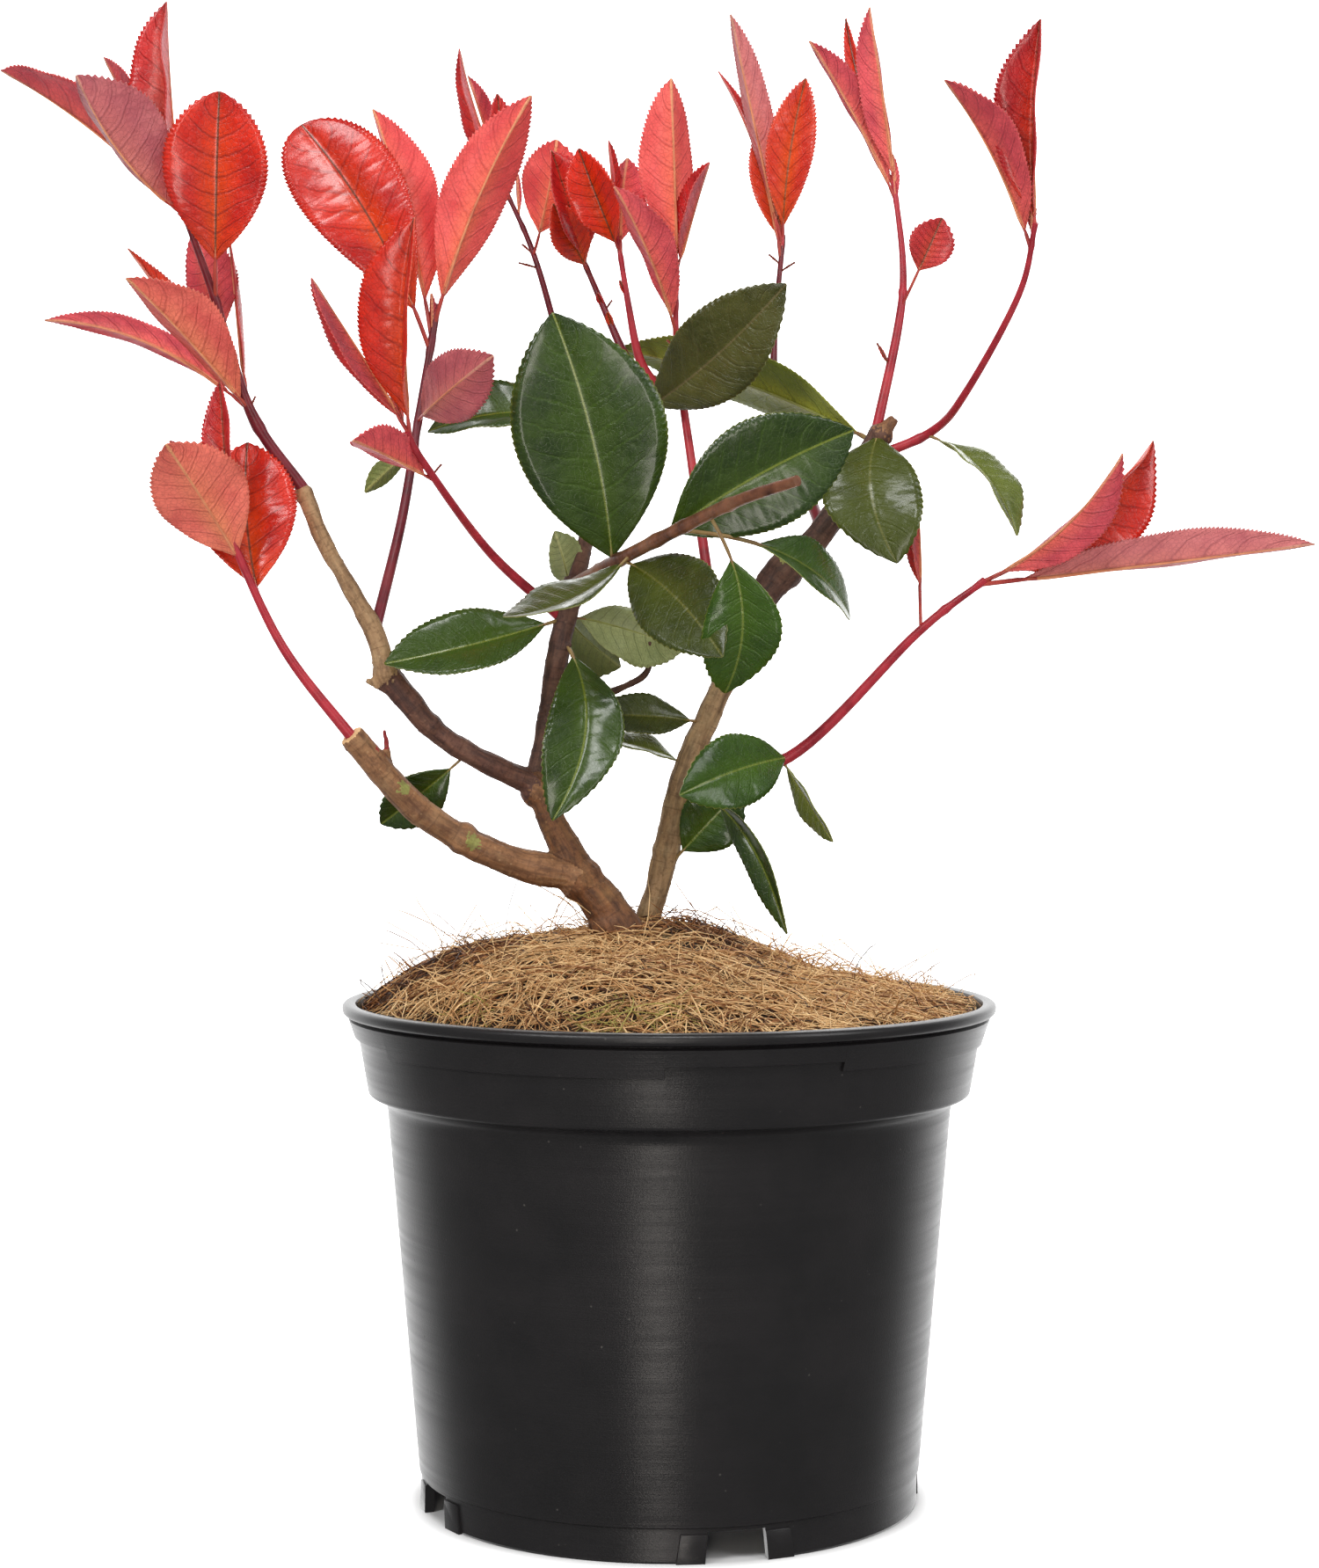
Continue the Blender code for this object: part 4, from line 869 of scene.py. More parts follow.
def floor_material():
    """White paper that glows a little for the camera, its glow fading out round the pot's foot as a painted
    soft shadow.
    """
    n = Nodes("floor_finish")
    reach = n.add("VectorMath", {0: n.place}, operation="LENGTH").outputs["Value"]
    # Painted soft shadow: the glow fades out towards the pot's foot
    glow = n.ramp(reach, FLOOR_PAINTED_SHADOW_FULL_TO, FLOOR_PAINTED_SHADOW_FADE_TO, 0.0, 1.0)
    seen = n.add("LightPath").outputs["Is Camera Ray"]
    tone = n.ramp(n.noise(3.0, 2.0), 0.3, 0.7)
    shade = n.mix(tone, (0.80, 0.80, 0.80, 1.0), (0.84, 0.84, 0.84, 1.0))
    n.feed(n.shader.inputs["Emission Strength"], n.times(glow, seen))
    return n.finish(shade, 0.9, Emission_Color=(1.0, 1.0, 1.0, 1.0))


# Pot

def lip_points(steps):
    return [(RIM_RADIUS - inset, RIM_HEIGHT - drop) for inset, drop in steps]


def pot_profile():
    """The shell's section as (radius, height), from the lip down the outside and back up the inside."""
    body_top = BASE_RADIUS + 12.0
    ledge = SKIRT_BOTTOM - 3.5
    inner_floor = FOOT_HEIGHT + FLOOR_THICKNESS
    outer = [
        *lip_points(OUTER_LIP), (RIM_RADIUS - WALL_TOP_INSET, WALL_TOP),
        (RIM_RADIUS - WALL_LOW_INSET, SKIRT_TOP), (RIM_RADIUS - 7.7, 153.0),
        (RIM_RADIUS - 9.0, SKIRT_BOTTOM + 0.8),
        (RIM_RADIUS - 9.2, SKIRT_BOTTOM + 0.2), (RIM_RADIUS - 9.8, SKIRT_BOTTOM - 0.3),
        (RIM_RADIUS - 11.0, SKIRT_BOTTOM - 0.8), (body_top + 1.2, ledge + 0.9), (body_top, ledge - 0.6),
        (body_top - 0.3, ledge - 3.0), (BASE_RADIUS + 8.5, 101.0), (BASE_RADIUS + 4.9, 59.0),
        (BASE_RADIUS + 0.95, FOOT_HEIGHT + 0.5), (BASE_RADIUS + 0.85, FOOT_HEIGHT),
        (BASE_RADIUS + 0.9 - FOOT_INSET, FOOT_HEIGHT - 0.4), (BASE_RADIUS + 0.15, FOOT_HEIGHT - 1.5),
        (BASE_RADIUS, 0.8), (BASE_RADIUS - 0.6, 0.0),
    ]
    inner = [
        (BASE_RADIUS - 2.6, 0.0), (BASE_RADIUS - 2.6, FOOT_HEIGHT), (FLOOR_DISC_RADIUS, FOOT_HEIGHT),
        (FLOOR_DISC_RADIUS - 1.5, FLOOR_DISC_HEIGHT), (0.0, FLOOR_DISC_HEIGHT),
        (0.0, FLOOR_DISC_HEIGHT + FLOOR_THICKNESS),
        (FLOOR_DISC_RADIUS - 4.0, FLOOR_DISC_HEIGHT + FLOOR_THICKNESS),
        (FLOOR_DISC_RADIUS - 2.5, inner_floor), (BASE_RADIUS - WALL, inner_floor),
        (body_top - WALL, ledge + WALL), (RIM_RADIUS - 9.3 - WALL, SKIRT_BOTTOM + 1.2),
        (RIM_RADIUS - WALL_LOW_INSET - WALL, SKIRT_TOP), *lip_points(INNER_LIP),
    ]
    return outer + inner


def turned(profile, segments):
    """A closed profile of (radius, height) in millimetres, turned round the Z axis."""
    bm = bmesh.new()
    verts = [bm.verts.new((radius * MM, 0.0, height * MM)) for radius, height in profile]
    edges = [bm.edges.new(pair) for pair in zip(verts, verts[1:] + verts[:1])]
    bmesh.ops.spin(
        bm, geom=verts + edges, cent=(0, 0, 0), axis=(0, 0, 1), angle=math.tau, steps=segments, use_merge=True
    )
    bmesh.ops.remove_doubles(bm, verts=bm.verts, dist=0.002 * MM)
    flat = [polygon for polygon in bm.faces if polygon.calc_area() < 1e-12]
    bmesh.ops.delete(bm, geom=flat, context="FACES_ONLY")
    loose = [edge for edge in bm.edges if not edge.link_faces]
    bmesh.ops.delete(bm, geom=loose, context="EDGES")
    bmesh.ops.recalc_face_normals(bm, faces=bm.faces)
    return bm


def wall_radius(height):
    """Outer radius of the cone between the lip and the skirt, at this height."""
    share = (WALL_TOP - height) / (WALL_TOP - SKIRT_TOP)
    return RIM_RADIUS - WALL_TOP_INSET + share * (WALL_TOP_INSET - WALL_LOW_INSET)


def band_stretch(start, end, lower_edge):
    """One arc of the slightly proud band under the lip, rooted in the wall."""
    top = WALL_TOP - 0.5
    outer_top = wall_radius(top) + BAND_PROUD
    outer_low = wall_radius(lower_edge) + BAND_PROUD
    root = WALL / 2 + BAND_PROUD
    profile = [
        (outer_top - root, top), (outer_top - BAND_PROUD, top + 0.5), (outer_top - 0.1, top - 0.4),
        (outer_low, lower_edge + 0.6), (outer_low - 0.12, lower_edge + 0.15), (outer_low - 0.5, lower_edge),
        (outer_low - root, lower_edge),
    ]
    bm = bmesh.new()
    turn_to_start = Matrix.Rotation(math.radians(start), 4, "Z")
    places = [Vector((radius * MM, 0, height * MM)) for radius, height in profile]
    verts = [bm.verts.new(turn_to_start @ place) for place in places]
    first = bm.faces.new(verts)
    arc = math.radians(end - start)
    steps = round((end - start) / 360 * POT_SEGMENTS)
    geom = [first, *first.edges, *verts]
    bmesh.ops.spin(bm, geom=geom, cent=(0, 0, 0), axis=(0, 0, 1), angle=arc, steps=steps)
    bmesh.ops.recalc_face_normals(bm, faces=bm.faces)
    return bm


def block(width, depth, low, high, spread, heading):
    """A block on the foot ring at this heading from the front, its bottom wider by the spread."""
    bm = bmesh.new()
    bmesh.ops.create_cube(bm, size=1.0)
    for vert in bm.verts:
        vert.co.x *= (width if vert.co.z > 0 else width * spread) * MM
        vert.co.y *= depth * MM
        vert.co.z = (high if vert.co.z > 0 else low) * MM
    bmesh.ops.translate(bm, verts=bm.verts, vec=(0, -BASE_RADIUS * MM, 0))
    spin = Matrix.Rotation(math.radians(heading), 3, "Z")
    bmesh.ops.rotate(bm, verts=bm.verts, cent=(0, 0, 0), matrix=spin)
    return bm


def hidden_object(bm):
    thing = bpy.data.objects.new("tool", mesh_of(bm))
    bpy.context.scene.collection.objects.link(thing)
    return thing


def with_booleans(bm, operations):
    """The mesh after joining or cutting it with each (operation, bmesh)."""
    thing = hidden_object(bm)
    tools = []
    for operation, tool_bm in operations:
        tool = hidden_object(tool_bm)
        modifier = thing.modifiers.new(operation.lower(), "BOOLEAN")
        modifier.operation = operation
        modifier.solver = "EXACT"
        modifier.object = tool
        tools.append(tool)
    mesh = baked_mesh(thing)
    for tool in tools:
        bpy.data.objects.remove(tool)
    return mesh


def notch_pads(heading):
    """The two slightly thicker pads, with softened edges, that stand either side of a notch."""
    half_turn = math.degrees((NOTCH_WIDTH / 2 + PAD_WIDTH / 2) / BASE_RADIUS)
    for side in (-1, 1):
        pad = block(PAD_WIDTH, 2 * PAD_PROUD + 1.0, 0.0, FOOT_HEIGHT - 2.2, 1.35, heading + side * half_turn)
        bmesh.ops.bevel(
            pad, geom=pad.edges[:], offset=0.3 * MM, affect="EDGES", segments=2, profile=0.5, material=-1
        )
        yield pad


def build_pot():
    operations = [("UNION", band_stretch(*stretch)) for stretch in BAND_STRETCHES]
    for heading in NOTCH_HEADINGS:
        operations += [("UNION", pad) for pad in notch_pads(heading)]
    for heading in NOTCH_HEADINGS:
        operations.append(("DIFFERENCE", block(NOTCH_WIDTH, 14.0, -4.0, FOOT_HEIGHT - 1.4, 1.15, heading)))
    mesh = with_booleans(turned(pot_profile(), POT_SEGMENTS), operations)
    mesh.shade_smooth()
    mesh.set_sharp_from_angle(angle=math.radians(32))
    add_piece("pot_shell", mesh, [pot_material()], ["pot"])


# Coir

def build_mat():
    """The felted mat: a lumpy disc that the loose fibres lie on, dark, to show as painted shade between them.
    """
    upper = [(MULCH_RADIUS * ring / MAT_RINGS, 300.0) for ring in range(MAT_RINGS + 1)]
    lower = [(MULCH_RADIUS - 1.0, MULCH_EDGE_TOP - 9.0), (60.0, 182.0), (30.0, 189.0), (0.0, 189.0)]
    bm = turned(upper + lower, MAT_SEGMENTS)
    for vert in bm.verts:
        if vert.co.z < 0.25:
            continue
        x, y = vert.co.x / MM, vert.co.y / MM
        reach = math.hypot(x, y) / MULCH_RADIUS
        broad = noise.noise(Vector((x / 15, y / 15, 3.1)))
        fine = noise.noise(Vector((x / 5, y / 5, 7.7)))
        lumps = 2.2 * broad + 1.3 * fine
        vert.co.z = (mulch_top(x, y) - 0.9 + lumps * (1 - 0.4 * reach)) * MM
    mesh = mesh_of(bm)
    mesh.shade_smooth()
    add_piece("coir_mat", mesh, [mat_material_with_painted_shade()], ["coir_mulch"])


def inside_rim(x, y, overhang):
    """The place pulled in so that it lies no further out than the rim and this overhang."""
    reach = math.hypot(x, y)
    limit = MULCH_RADIUS + overhang
    if reach <= limit:
        return x, y
    return x * limit / reach, y * limit / reach


def fibre_line(chance, x, y, length, lift, arc_height, overhang=1.5):
    """One loose fibre: a gently bent line over the mat that dips into it at its ends."""
    heading = chance.uniform(0, math.tau)
    bend = chance.gauss(0.0, 0.45)
    points = []
    for number in range(FIBRE_POINTS):
        share = number / (FIBRE_POINTS - 1) - 0.5
        angle = heading + bend * share + chance.uniform(-0.03, 0.03)
        out = length * share
        px, py = inside_rim(x + out * math.cos(angle), y + out * math.sin(angle), overhang)
        rise = lift + arc_height * (1 - 4 * share * share) + chance.uniform(-0.25, 0.25)
        points.append(Vector((px, py, mulch_top(px, py) + rise)) * MM)
    return points


def raised_end(chance, x, y, lengths, slopes):
    """A fibre whose end stands up out of the mat and leans over."""
    heading = chance.uniform(0, math.tau)
    length = chance.uniform(*lengths)
    steep = math.radians(chance.uniform(*slopes))
    curl = chance.uniform(-0.5, 0.5)
    points = []
    place = Vector((x, y, mulch_top(x, y) - 1.0))
    for step in range(5):
        points.append(place * MM)
        out = length / 4 * math.cos(steep)
        px, py = inside_rim(place.x + out * math.cos(heading), place.y + out * math.sin(heading), 4.0)
        place = Vector((px, py, place.z + length / 4 * math.sin(steep)))
        heading += curl * 0.5
        steep -= chance.uniform(0.0, 0.28)
    return points


def in_patch(x, y, patches):
    return any(math.hypot((x - px) / wider, y - py) < reach for px, py, wider, reach in patches)


def fibre_tint(chance, x, y, lift):
    """Which finish a fibre has: its patch decides first, and then a fibre that lies deep in the mat takes
    darker finishes as painted shade.
    """
    if in_patch(x, y, DARK_PATCHES):
        mix = DARK_MIX
    elif in_patch(x, y, MOSSY_PATCHES):
        mix = MOSSY_MIX
    else:
        # Painted shade: fibres low in the mat take the darker mix
        mix = PAINTED_SHADE_MIX if lift < PAINTED_SHADE_LIFT else USUAL_MIX
    return chance.choices(*mix)[0]


def random_place(chance, share=1.0):
    """A place on the mat, even over its area."""
    reach = MULCH_RADIUS * share * math.sqrt(chance.random())
    heading = chance.uniform(0, math.tau)
    return reach * math.cos(heading), reach * math.sin(heading)


def build_fibres():
    """Loose coir over the mat, raised ends, strays and chips, in one run of random draws."""
    chance = random.Random(FIBRE_SEED)
    section = triangle_profile()
    tints = [fibre_material(name, *paints(shades)) for name, shades in COIR_PAINTS.items()]
    add_lying_fibres(chance, section, tints)
    add_raised_ends(chance, section, tints)
    add_stray_fibres(chance, section, tints)
    bpy.data.objects.remove(section)
    add_husk_chips(chance, tints)


def add_lying_fibres(chance, section, tints):
    for piece_number in range(FIBRE_PIECES):
        lines = []
        for _ in range(FIBRES_IN_A_PIECE):
            x, y = random_place(chance)
            length = chance.uniform(*FIBRE_LENGTHS)
            clump = 2.2 * noise.noise(Vector((x / 9, y / 9, 1.7)))
            lift = chance.uniform(-0.8, 2.0)
            points = fibre_line(chance, x, y, length, lift + clump, chance.uniform(0, 2.2))
            radius = chance.uniform(*FIBRE_RADII) * MM
            radii = [radius * 0.6] + [radius] * (FIBRE_POINTS - 2) + [radius * 0.3]
            lines.append((points, radii, fibre_tint(chance, x, y, lift)))
        mesh = tubes_mesh(lines, section=section)
        add_piece(f"coir_fibres_{piece_number + 1}", mesh, tints, ["coir_mulch"])


def add_raised_ends(chance, section, tints):
    """Short ends that stand up out of the mat, then longer ones."""
    lines = []
    for number in range(RAISED_ENDS + LONG_STRAYS):
        is_long = number >= RAISED_ENDS
        x, y = random_place(chance, 0.98)
        radius = chance.uniform(0.13, 0.22) * MM if is_long else chance.uniform(0.12, 0.26) * MM
        lengths, slopes = ((16.0, 42.0), (8, 58)) if is_long else ((4.0, 15.0), (8, 62))
        points = raised_end(chance, x, y, lengths, slopes)
        lines.append((points, [radius] * 4 + [radius * 0.3], fibre_tint(chance, x, y, 1.0)))
    add_piece("raised_ends", tubes_mesh(lines, section=section), tints, ["coir_mulch"])


def add_stray_fibres(chance, section, tints):
    """Fibres that arch well clear of the mat, some of them as far out as the lip."""
    lines = []
    for _ in range(STRAY_FIBRES):
        x, y = random_place(chance, 0.97)
        points = fibre_line(chance, x, y, chance.uniform(14, 52), 0.0, chance.uniform(3, 9), 5.0)
        radius = chance.uniform(0.13, 0.22) * MM
        lines.append((points, [radius] * FIBRE_POINTS, chance.choice((0, 1, 2))))
    add_piece("stray_fibres", tubes_mesh(lines, section=section), tints, ["coir_mulch"])


def add_husk_chips(chance, tints):
    bm = bmesh.new()
    for _ in range(CHIPS):
        x, y = random_place(chance, 0.95)
        new = bmesh.ops.create_cube(bm, size=1.0)["verts"]
        length, width = chance.uniform(2.5, 9.0), chance.uniform(0.8, 2.4)
        bmesh.ops.scale(bm, verts=new, vec=(length * MM, width * MM, chance.uniform(0.4, 1.1) * MM))
        for vert in new:
            vert.co *= chance.uniform(0.75, 1.2)
        lean = Matrix.Rotation(chance.uniform(-0.5, 0.5), 3, "Y")
        lean = lean @ Matrix.Rotation(chance.uniform(-0.4, 0.4), 3, "X")
        spin = Matrix.Rotation(chance.uniform(0, math.tau), 3, "Z")
        bmesh.ops.rotate(bm, verts=new, cent=(0, 0, 0), matrix=spin @ lean)
        bmesh.ops.translate(bm, verts=new, vec=Vector((x, y, mulch_top(x, y) + 1.4)) * MM)
        tint = chance.choice((1, 2, 3))
        for polygon in {polygon for vert in new for polygon in vert.link_faces}:
            polygon.material_index = tint
    bmesh.ops.bevel(
        bm, geom=bm.edges[:], offset=0.15 * MM, affect="EDGES", segments=1, profile=0.5, material=-1
    )
    add_piece("husk_chips", mesh_of(bm), tints, ["coir_mulch"])


# Bark

def limb_line(limb, steps):
    stations = smooth_route(limb.stations, steps)
    centres = [Vector(station[:3]) * MM for station in stations]
    radii = [station[3] * MM for station in stations]
    return centres, radii


def build_bark():
    """All limbs, stubs and knots grown together, then roughened along their skin."""
    lines = []
    for limb in LIMBS:
        centres, radii = limb_line(limb, 6)
        lines.append((centres, radii, 0))
    for root, end, thick, thin in STUBS:
        lines.append(([Vector(root) * MM, Vector(end) * MM], [thick * MM, thin * MM], 0))
    mesh = tubes_mesh(lines, sides=16)
    bm = bmesh.new()
    bm.from_mesh(mesh)
    for place, radius in KNOTS:
        ret = bmesh.ops.create_icosphere(bm, subdivisions=3, radius=radius * MM)
        bmesh.ops.translate(bm, verts=ret["verts"], vec=Vector(place) * MM)
    thing = hidden_object(bm)
    remesh = thing.modifiers.new("grow_together", "REMESH")
    remesh.mode = "VOXEL"
    remesh.voxel_size = BARK_VOXEL * MM
    smooth = thing.modifiers.new("soften", "SMOOTH")
    smooth.factor = 0.5
    smooth.iterations = 6
    mesh = baked_mesh(thing)
    bark_place, owners = places_on_limbs(mesh)
    bm = bmesh.new()
    bm.from_mesh(mesh)
    bm.normal_update()
    moves = []
    for vert, limb_place in zip(bm.verts, bark_place):
        place = vert.co / MM
        streak = noise.noise(Vector((limb_place.x / 1.3, limb_place.y / 1.3, limb_place.z / 8.0)) / MM)
        lumps = noise.noise(place / 7.0)
        from_ring = (limb_place.z / MM + 2.2 * noise.noise(place / 9.0)) % RING_SPACING
        broken = max(0.0, 0.4 + noise.noise(place / 5.0))
        ring = math.exp(-((from_ring - RING_SPACING / 2) / 0.5) ** 2) * broken
        moves.append(vert.normal * (0.30 * streak + 0.45 * lumps + RING_HEIGHT * ring) * MM)
    for vert, move in zip(bm.verts, moves):
        vert.co += move
    mesh = mesh_of(bm)
    mesh.shade_smooth()
    stored = mesh.attributes.new("bark_place", "FLOAT_VECTOR", "POINT")
    for item, limb_place in zip(stored.data, bark_place):
        item.vector = limb_place
    finishes = list(BARKS)
    materials = [bark_material(name, *paints(shades)) for name, shades in BARKS.items()]
    add_piece("bark", mesh, materials, [limb.name for limb in LIMBS])
    cut_centre = Vector((-109.5, -32.5, 270.5)) * MM
    cut_axis = (Vector((-109, -32, 270)) - Vector((-89, -21, 246))).normalized()
    for polygon in mesh.polygons:
        finish = LIMB_BARKS[owners[polygon.vertices[0]]]
        for spot_finish, place, radius in BARK_SPOTS:
            ragged = 0.55 + 0.9 * abs(noise.noise(polygon.center / (1.6 * MM)))
            if (polygon.center - Vector(place) * MM).length < radius * ragged * MM:
                finish = spot_finish
        from_cut = polygon.center - cut_centre
        if from_cut.length < 5.0 * MM and polygon.normal.dot(cut_axis) > 0.75:
            finish = "cut_wood"
        polygon.material_index = finishes.index(finish)


def places_on_limbs(mesh):
    """For each vertex, its place across and along the nearest limb, in metres, and that limb's name."""
    samples = []
    for limb in LIMBS:
        centres, radii = limb_line(limb, 12)
        length = 0.0
        for start, end in zip(centres, centres[1:]):
            samples.append((start, (end - start).normalized(), length, limb.name))
            length += (end - start).length
    tree = kdtree.KDTree(len(samples))
    for number, sample in enumerate(samples):
        tree.insert(sample[0], number)
    tree.balance()
    places, owners = [], []
    for vert in mesh.vertices:
        start, along, length, name = samples[tree.find(vert.co)[1]]
        out = vert.co - start
        first = along.cross(Vector((0, 1, 0))).normalized()
        second = along.cross(first)
        places.append(Vector((out.dot(first), out.dot(second), length + out.dot(along))))
        owners.append(name)
    return places, owners


# Leaves and stems

def add_blade(bm, layers, leaf, base, material_number, chance):
    """One blade as a toothed, quilted sheet, its upper face outwards."""
    axes = leaf_axes(leaf)
    along, across, face = axes
    blade_length = leaf.length * (1 - leaf.petiole)
    row_length = OLD_ROW_LENGTH if leaf.tint in GREEN_TINTS else ROW_LENGTH
    rows = max(6, round(blade_length / row_length / ROWS_IN_A_TOOTH)) * ROWS_IN_A_TOOTH
    half_columns = len(HALF_COLUMNS) - 1
    new = bmesh.ops.create_grid(bm, x_segments=rows, y_segments=2 * half_columns, size=0.5)["verts"]
    fold = math.radians(leaf.fold)
    tooth = min(0.75, 0.030 * leaf.width + 0.10) * MM * (0.6 if leaf.tint in GREEN_TINTS else 1.0)
    quilt = min(0.60, 0.020 * leaf.width) * MM
    waves = chance.uniform(1.6, 2.6)
    wave_start = chance.uniform(0, math.tau)
    wave_height = min(1.5, 0.05 * leaf.width) * MM * chance.uniform(0.6, 1.2)
    seed_place = Vector((chance.uniform(-50, 50), chance.uniform(-50, 50), chance.uniform(-50, 50)))
    tone = chance.random()
    for vert in new:
        row = round((vert.co.x + 0.5) * rows)
        column = round(vert.co.y * 2 * half_columns)
        side = -1 if column < 0 else 1
        out = HALF_COLUMNS[abs(column)]
        t = row / rows
        share = leaf.petiole + (1 - leaf.petiole) * t
        half = blade_half_width(leaf, t)
        ends = min(1.0, t / 0.10, (1 - t) / 0.06)
        if out == 1.0:
            saw = (row % ROWS_IN_A_TOOTH) / (ROWS_IN_A_TOOTH - 1)
            half += tooth * (saw - 0.5) * ends
            share += (saw * tooth * 0.7 / (leaf.length * MM)) * ends
        middle = midrib_point(leaf, base, axes, share)
        crown = out + 0.30 * out * (1 - out)
        edge = across * side * out * math.cos(fold) + face * crown * math.sin(fold)
        phase = VEIN_PAIRS * (t - VEIN_LEAN * out)
        bulge = abs(math.sin(math.pi * phase)) ** 0.8 * math.sin(math.pi * min(1.0, out * 0.97))
        wave = math.sin(wave_start + side * 0.9 + waves * math.tau * t) * out * out
        warp = noise.noise(seed_place + Vector((2.2 * t, 1.1 * side * out, 0.0))) * out
        fade = math.sin(math.pi * min(1, t * 1.02)) ** 0.5
        height = (quilt * bulge + wave_height * (0.6 * wave + 1.1 * warp)) * fade
        if out == 0.0:
            height -= 0.25 * MM * ends
        vert.co = middle + edge * half + face * height
        vert[layers["along"]] = t
        vert[layers["across"]] = side * out
        vert[layers["offset"]] = side * out * half
        vert[layers["tone"]] = tone
    faces = {polygon for vert in new for polygon in vert.link_faces}
    bmesh.ops.reverse_faces(bm, faces=list(faces))
    for polygon in faces:
        polygon.material_index = material_number
        polygon.smooth = True


def rib_lines(leaf, base):
    """The petiole, and the midrib that runs on under the blade."""
    axes = leaf_axes(leaf)
    face = axes[2]
    thick = min(PETIOLE_RADIUS + PETIOLE_GROWTH * leaf.length, leaf.width / 8) * MM
    blade_share = MIDRIB_END - leaf.petiole
    for first, last, material_number in ((0.0, leaf.petiole + 0.05, 0), (leaf.petiole + 0.02, MIDRIB_END, 1)):
        points, radii = [], []
        steps = 6 if material_number == 0 else 14
        for number in range(steps + 1):
            share = first + (last - first) * number / steps
            on_blade = max(0.0, share - leaf.petiole)
            under = min(1.0, on_blade / 0.08)
            radius = thick
            if on_blade:
                radius *= MIDRIB_START_SHARE - MIDRIB_LOSS * on_blade / blade_share
            sink = face * (0.3 * MM + 0.85 * radius) * under
            points.append(midrib_point(leaf, base, axes, share) - sink)
            radii.append(radius)
        yield points, radii, material_number


def build_foliage(limb_lines):
    """Every leaf on its stem: blades in three pieces by kind and side, ribs and stems beside them."""
    chance = random.Random(TIP_LEAF_SEED)
    wobble = random.Random(BLADE_SEED)
    groups = {"red_leaves_left": [], "red_leaves_right": [], "green_leaves": []}
    nodes = {name: set() for name in groups}
    stems = {"red_stem": [], "wine_stem": [], "brown_twig": []}

    def keep(leaf, base, node, left):
        group = "red_leaves_left" if left else "red_leaves_right"
        if leaf.tint in GREEN_TINTS:
            group = "green_leaves"
        groups[group].append((leaf, base))
        nodes[group].add(node)

    for name, limb_name, leaf in SINGLE_LEAVES:
        keep(leaf, point_on(limb_lines[limb_name], leaf.at), name, False)
    for shoot in SHOOTS:
        route = [point * MM for point in smooth_route(shoot.route, 3)]
        fine_route = [point * MM for point in smooth_route(shoot.route, 12)]
        thick, thin = (radius * MM for radius in shoot.radii)
        count = len(fine_route) - 1
        radii = []
        for number in range(count + 1):
            share = number / count
            swelling = sum(math.exp(-((share - leaf.at) / 0.012) ** 2) for leaf in shoot.leaves)
            radii.append((thick + (thin - thick) * share) * (1 + 0.22 * min(1.0, swelling)))
        stems[shoot.stem].append((fine_route, radii, 0))
        left = shoot.route[-1][0] < -70
        bracts = [leaf for name, leaf in BRACTS if name == shoot.name]
        for leaf in [*shoot.leaves, *tip_leaves(shoot.tip_leaves, chance), *bracts]:
            keep(leaf, point_on(route, leaf.at), shoot.name, left)

    for name, lines in stems.items():
        mesh = tubes_mesh(lines, sides=12)
        owners = [shoot.name for shoot in SHOOTS if shoot.stem == name]
        roughness = 0.6 if name == "brown_twig" else 0.03
        finish = stem_material(name + "_finish", *paints(STEM_PAINTS[name]), roughness)
        add_piece(name + "s", mesh, [finish], owners)

    looks = {}
    for tint, look in FINISHES.items():
        looks[tint] = (
            leaf_material(tint + "_upper_face", Face(*paints(look.upper)), look.gloss, True),
            leaf_material(tint + "_underside", Face(*paints(look.under)), 0.0, False),
        )
    for group, members in groups.items():
        is_green = group == "green_leaves"
        kind = "green" if is_green else "red"
        tints = [tint for tint in FINISHES if (tint in GREEN_TINTS) == is_green]
        materials = [material for tint in tints for material in looks[tint]]
        bm = bmesh.new()
        keys = ("along", "across", "offset", "tone")
        layers = {key: bm.verts.layers.float.new("leaf_" + key) for key in keys}
        ribs = []
        for leaf, base in members:
            add_blade(bm, layers, leaf, base, 2 * tints.index(leaf.tint), wobble)
            ribs += rib_lines(leaf, base)
        piece = add_piece(group, mesh_of(bm), materials, sorted(nodes[group]))
        thickness = piece.modifiers.new("blade_thickness", "SOLIDIFY")
        thickness.thickness = BLADE_THICKNESS * MM
        thickness.offset = -1.0
        thickness.material_offset = 1
        thickness.material_offset_rim = 1
        rib_name = group.replace("leaves", "ribs")
        rib_looks = [
            stem_material(f"{rib_name}_{part}_finish", *paints(STEM_PAINTS[f"{kind}_{part}"]))
            for part in ("petiole", "midrib")
        ]
        add_piece(rib_name, tubes_mesh(ribs, sides=6), rib_looks, sorted(nodes[group]))


# Studio

def area_light(name, place, target, width, height, power, colour=(1.0, 1.0, 1.0)):
    light = bpy.data.lights.new(name, "AREA")
    light.color = colour
    light.shape = "RECTANGLE"
    light.size = width
    light.size_y = height
    light.energy = power
    thing = bpy.data.objects.new(name, light)
    thing.location = place
    thing.rotation_euler = (Vector(target) - Vector(place)).to_track_quat("-Z", "Y").to_euler()
    thing.visible_camera = False
    bpy.context.scene.collection.objects.link(thing)


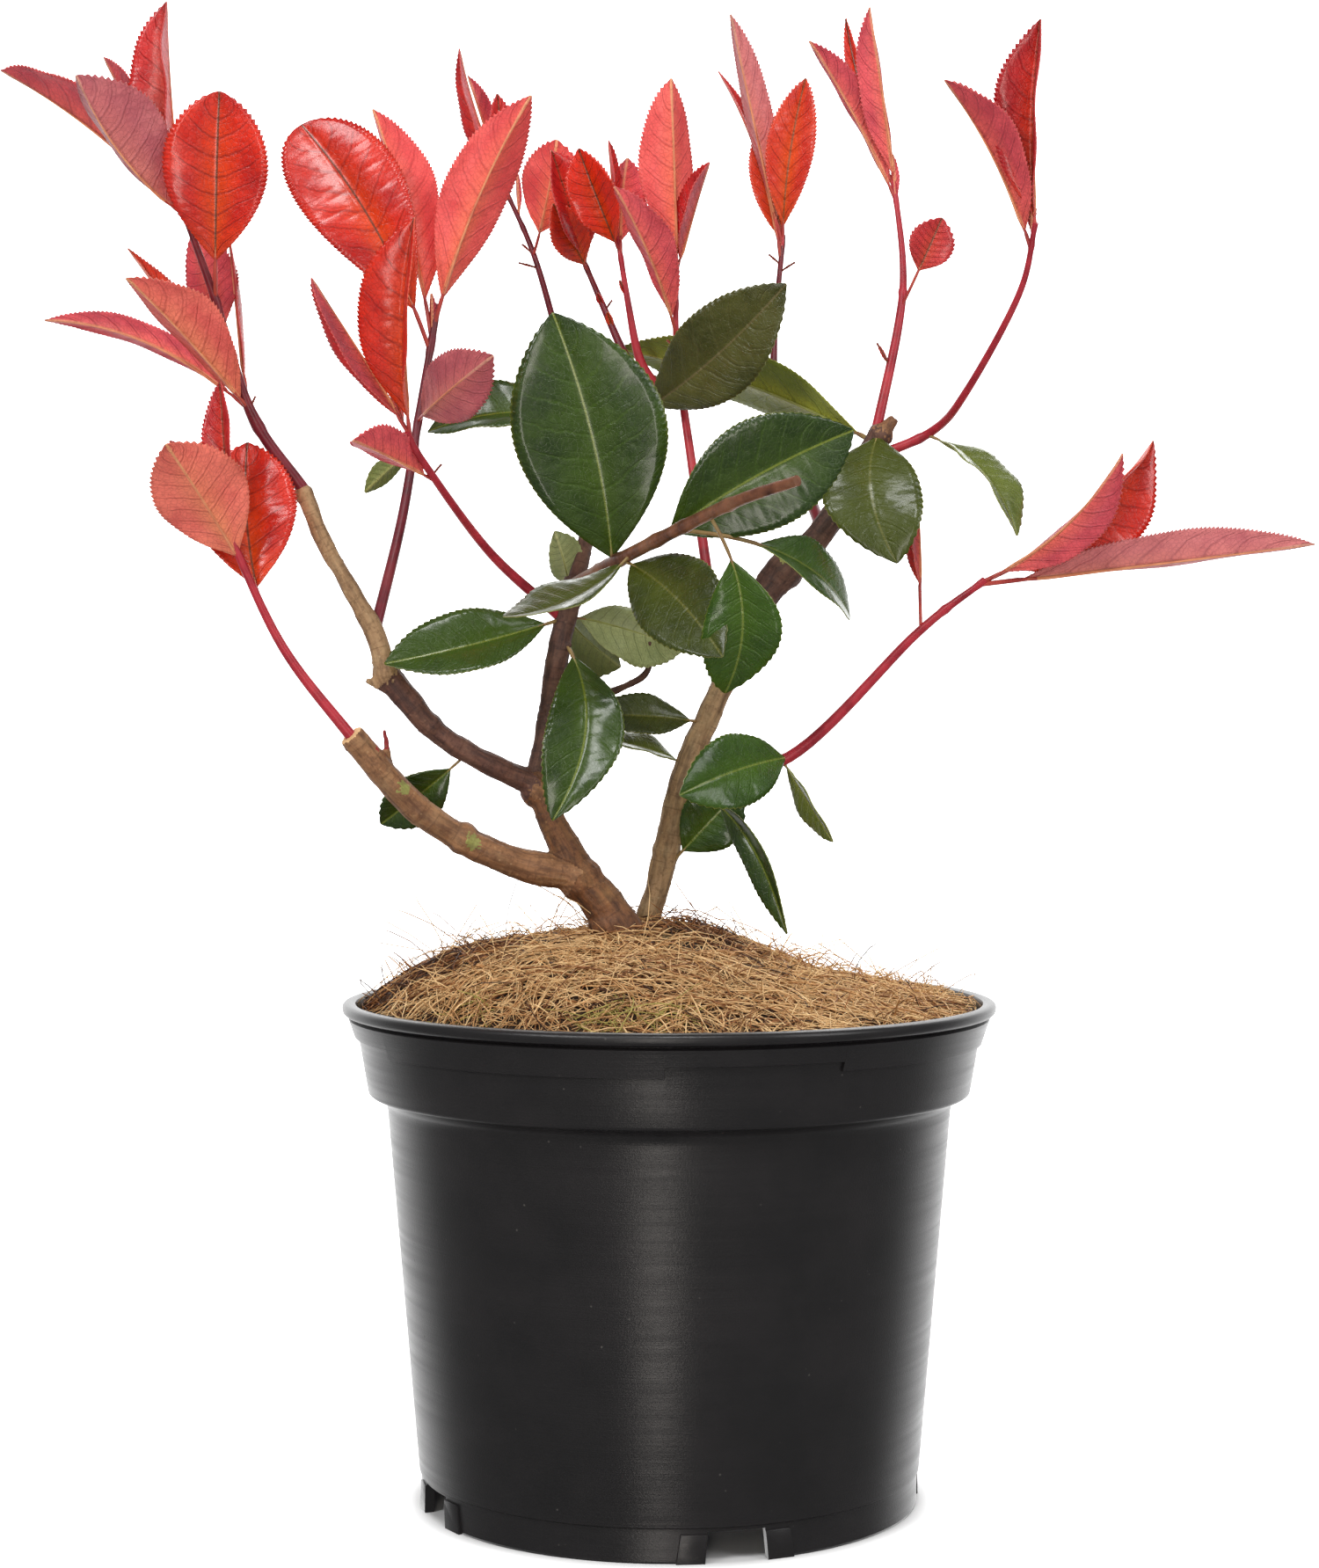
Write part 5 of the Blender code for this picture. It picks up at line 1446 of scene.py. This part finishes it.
def build_studio():
    """A white floor and backdrop, bright behind and dimmer in front, with soft boxes round the plant."""
    bm = bmesh.new()
    bmesh.ops.create_circle(bm, cap_ends=True, segments=96, radius=FLOOR_RADIUS)
    floor = bpy.data.objects.new("floor", mesh_of(bm))
    floor.data.materials.append(floor_material())
    bpy.context.scene.collection.objects.link(floor)
    floor.visible_glossy = False

    world = bpy.data.worlds.new("studio")
    world.use_nodes = True
    tree = world.node_tree
    tree.nodes.clear()
    direction = tree.nodes.new("ShaderNodeTexCoord")
    parts = tree.nodes.new("ShaderNodeSeparateXYZ")
    towards_back = tree.nodes.new("ShaderNodeMapRange")
    for key, value in {"From Min": 0.40, "From Max": 0.95, "To Min": 0.22, "To Max": 2.4}.items():
        towards_back.inputs[key].default_value = value
    seen = tree.nodes.new("ShaderNodeLightPath")
    lit = tree.nodes.new("ShaderNodeMath")
    lit.operation = "MAXIMUM"
    background = tree.nodes.new("ShaderNodeBackground")
    background.inputs["Color"].default_value = (1.0, 1.0, 1.0, 1.0)
    output = tree.nodes.new("ShaderNodeOutputWorld")
    tree.links.new(direction.outputs["Generated"], parts.inputs[0])
    tree.links.new(parts.outputs["Y"], towards_back.inputs["Value"])
    tree.links.new(towards_back.outputs["Result"], lit.inputs[0])
    tree.links.new(seen.outputs["Is Camera Ray"], lit.inputs[1])
    tree.links.new(lit.outputs[0], background.inputs["Strength"])
    tree.links.new(background.outputs[0], output.inputs[0])
    bpy.context.scene.world = world

    middle = (0.0, 0.0, 0.28)
    area_light("key_box", (-1.1, -1.3, 1.35), middle, 0.6, 0.6, 15.0)
    area_light("right_box", (1.3, -0.9, 1.0), middle, 0.5, 1.1, 9.0)
    area_light("front_strip", (-0.16, -1.9, -0.1), (0.0, 0.0, -0.1), 0.22, 2.0, 13.0, (1.0, 0.93, 0.86))
    area_light("top_box", (0.05, -1.1, 1.75), middle, 0.5, 0.35, 10.0)
    area_light("back_box", (0.2, 1.5, 1.5), middle, 1.6, 0.8, 12.0)

    view = bpy.context.scene.view_settings
    view.view_transform = "Standard"
    view.look = "None"


def add_camera():
    data = bpy.data.cameras.new("camera")
    data.sensor_fit = "VERTICAL"
    data.sensor_height = SENSOR_HEIGHT
    data.lens = FOCAL_PIXELS / PHOTO_HEIGHT * SENSOR_HEIGHT
    data.dof.use_dof = False
    camera = bpy.data.objects.new("camera", data)
    camera.location = CAMERA_PLACE
    camera.rotation_euler = (math.pi / 2 - CAMERA_PITCH, 0.0, 0.0)
    bpy.context.scene.collection.objects.link(camera)
    bpy.context.scene.camera = camera


def main():
    add_camera()
    build_studio()
    build_pot()
    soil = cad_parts["growing_medium"]
    soil.data.materials.clear()
    soil.data.materials.append(soil_material())
    build_mat()
    build_fibres()
    build_bark()
    limb_lines = {limb.name: limb_line(limb, 2)[0] for limb in LIMBS}
    build_foliage(limb_lines)


main()
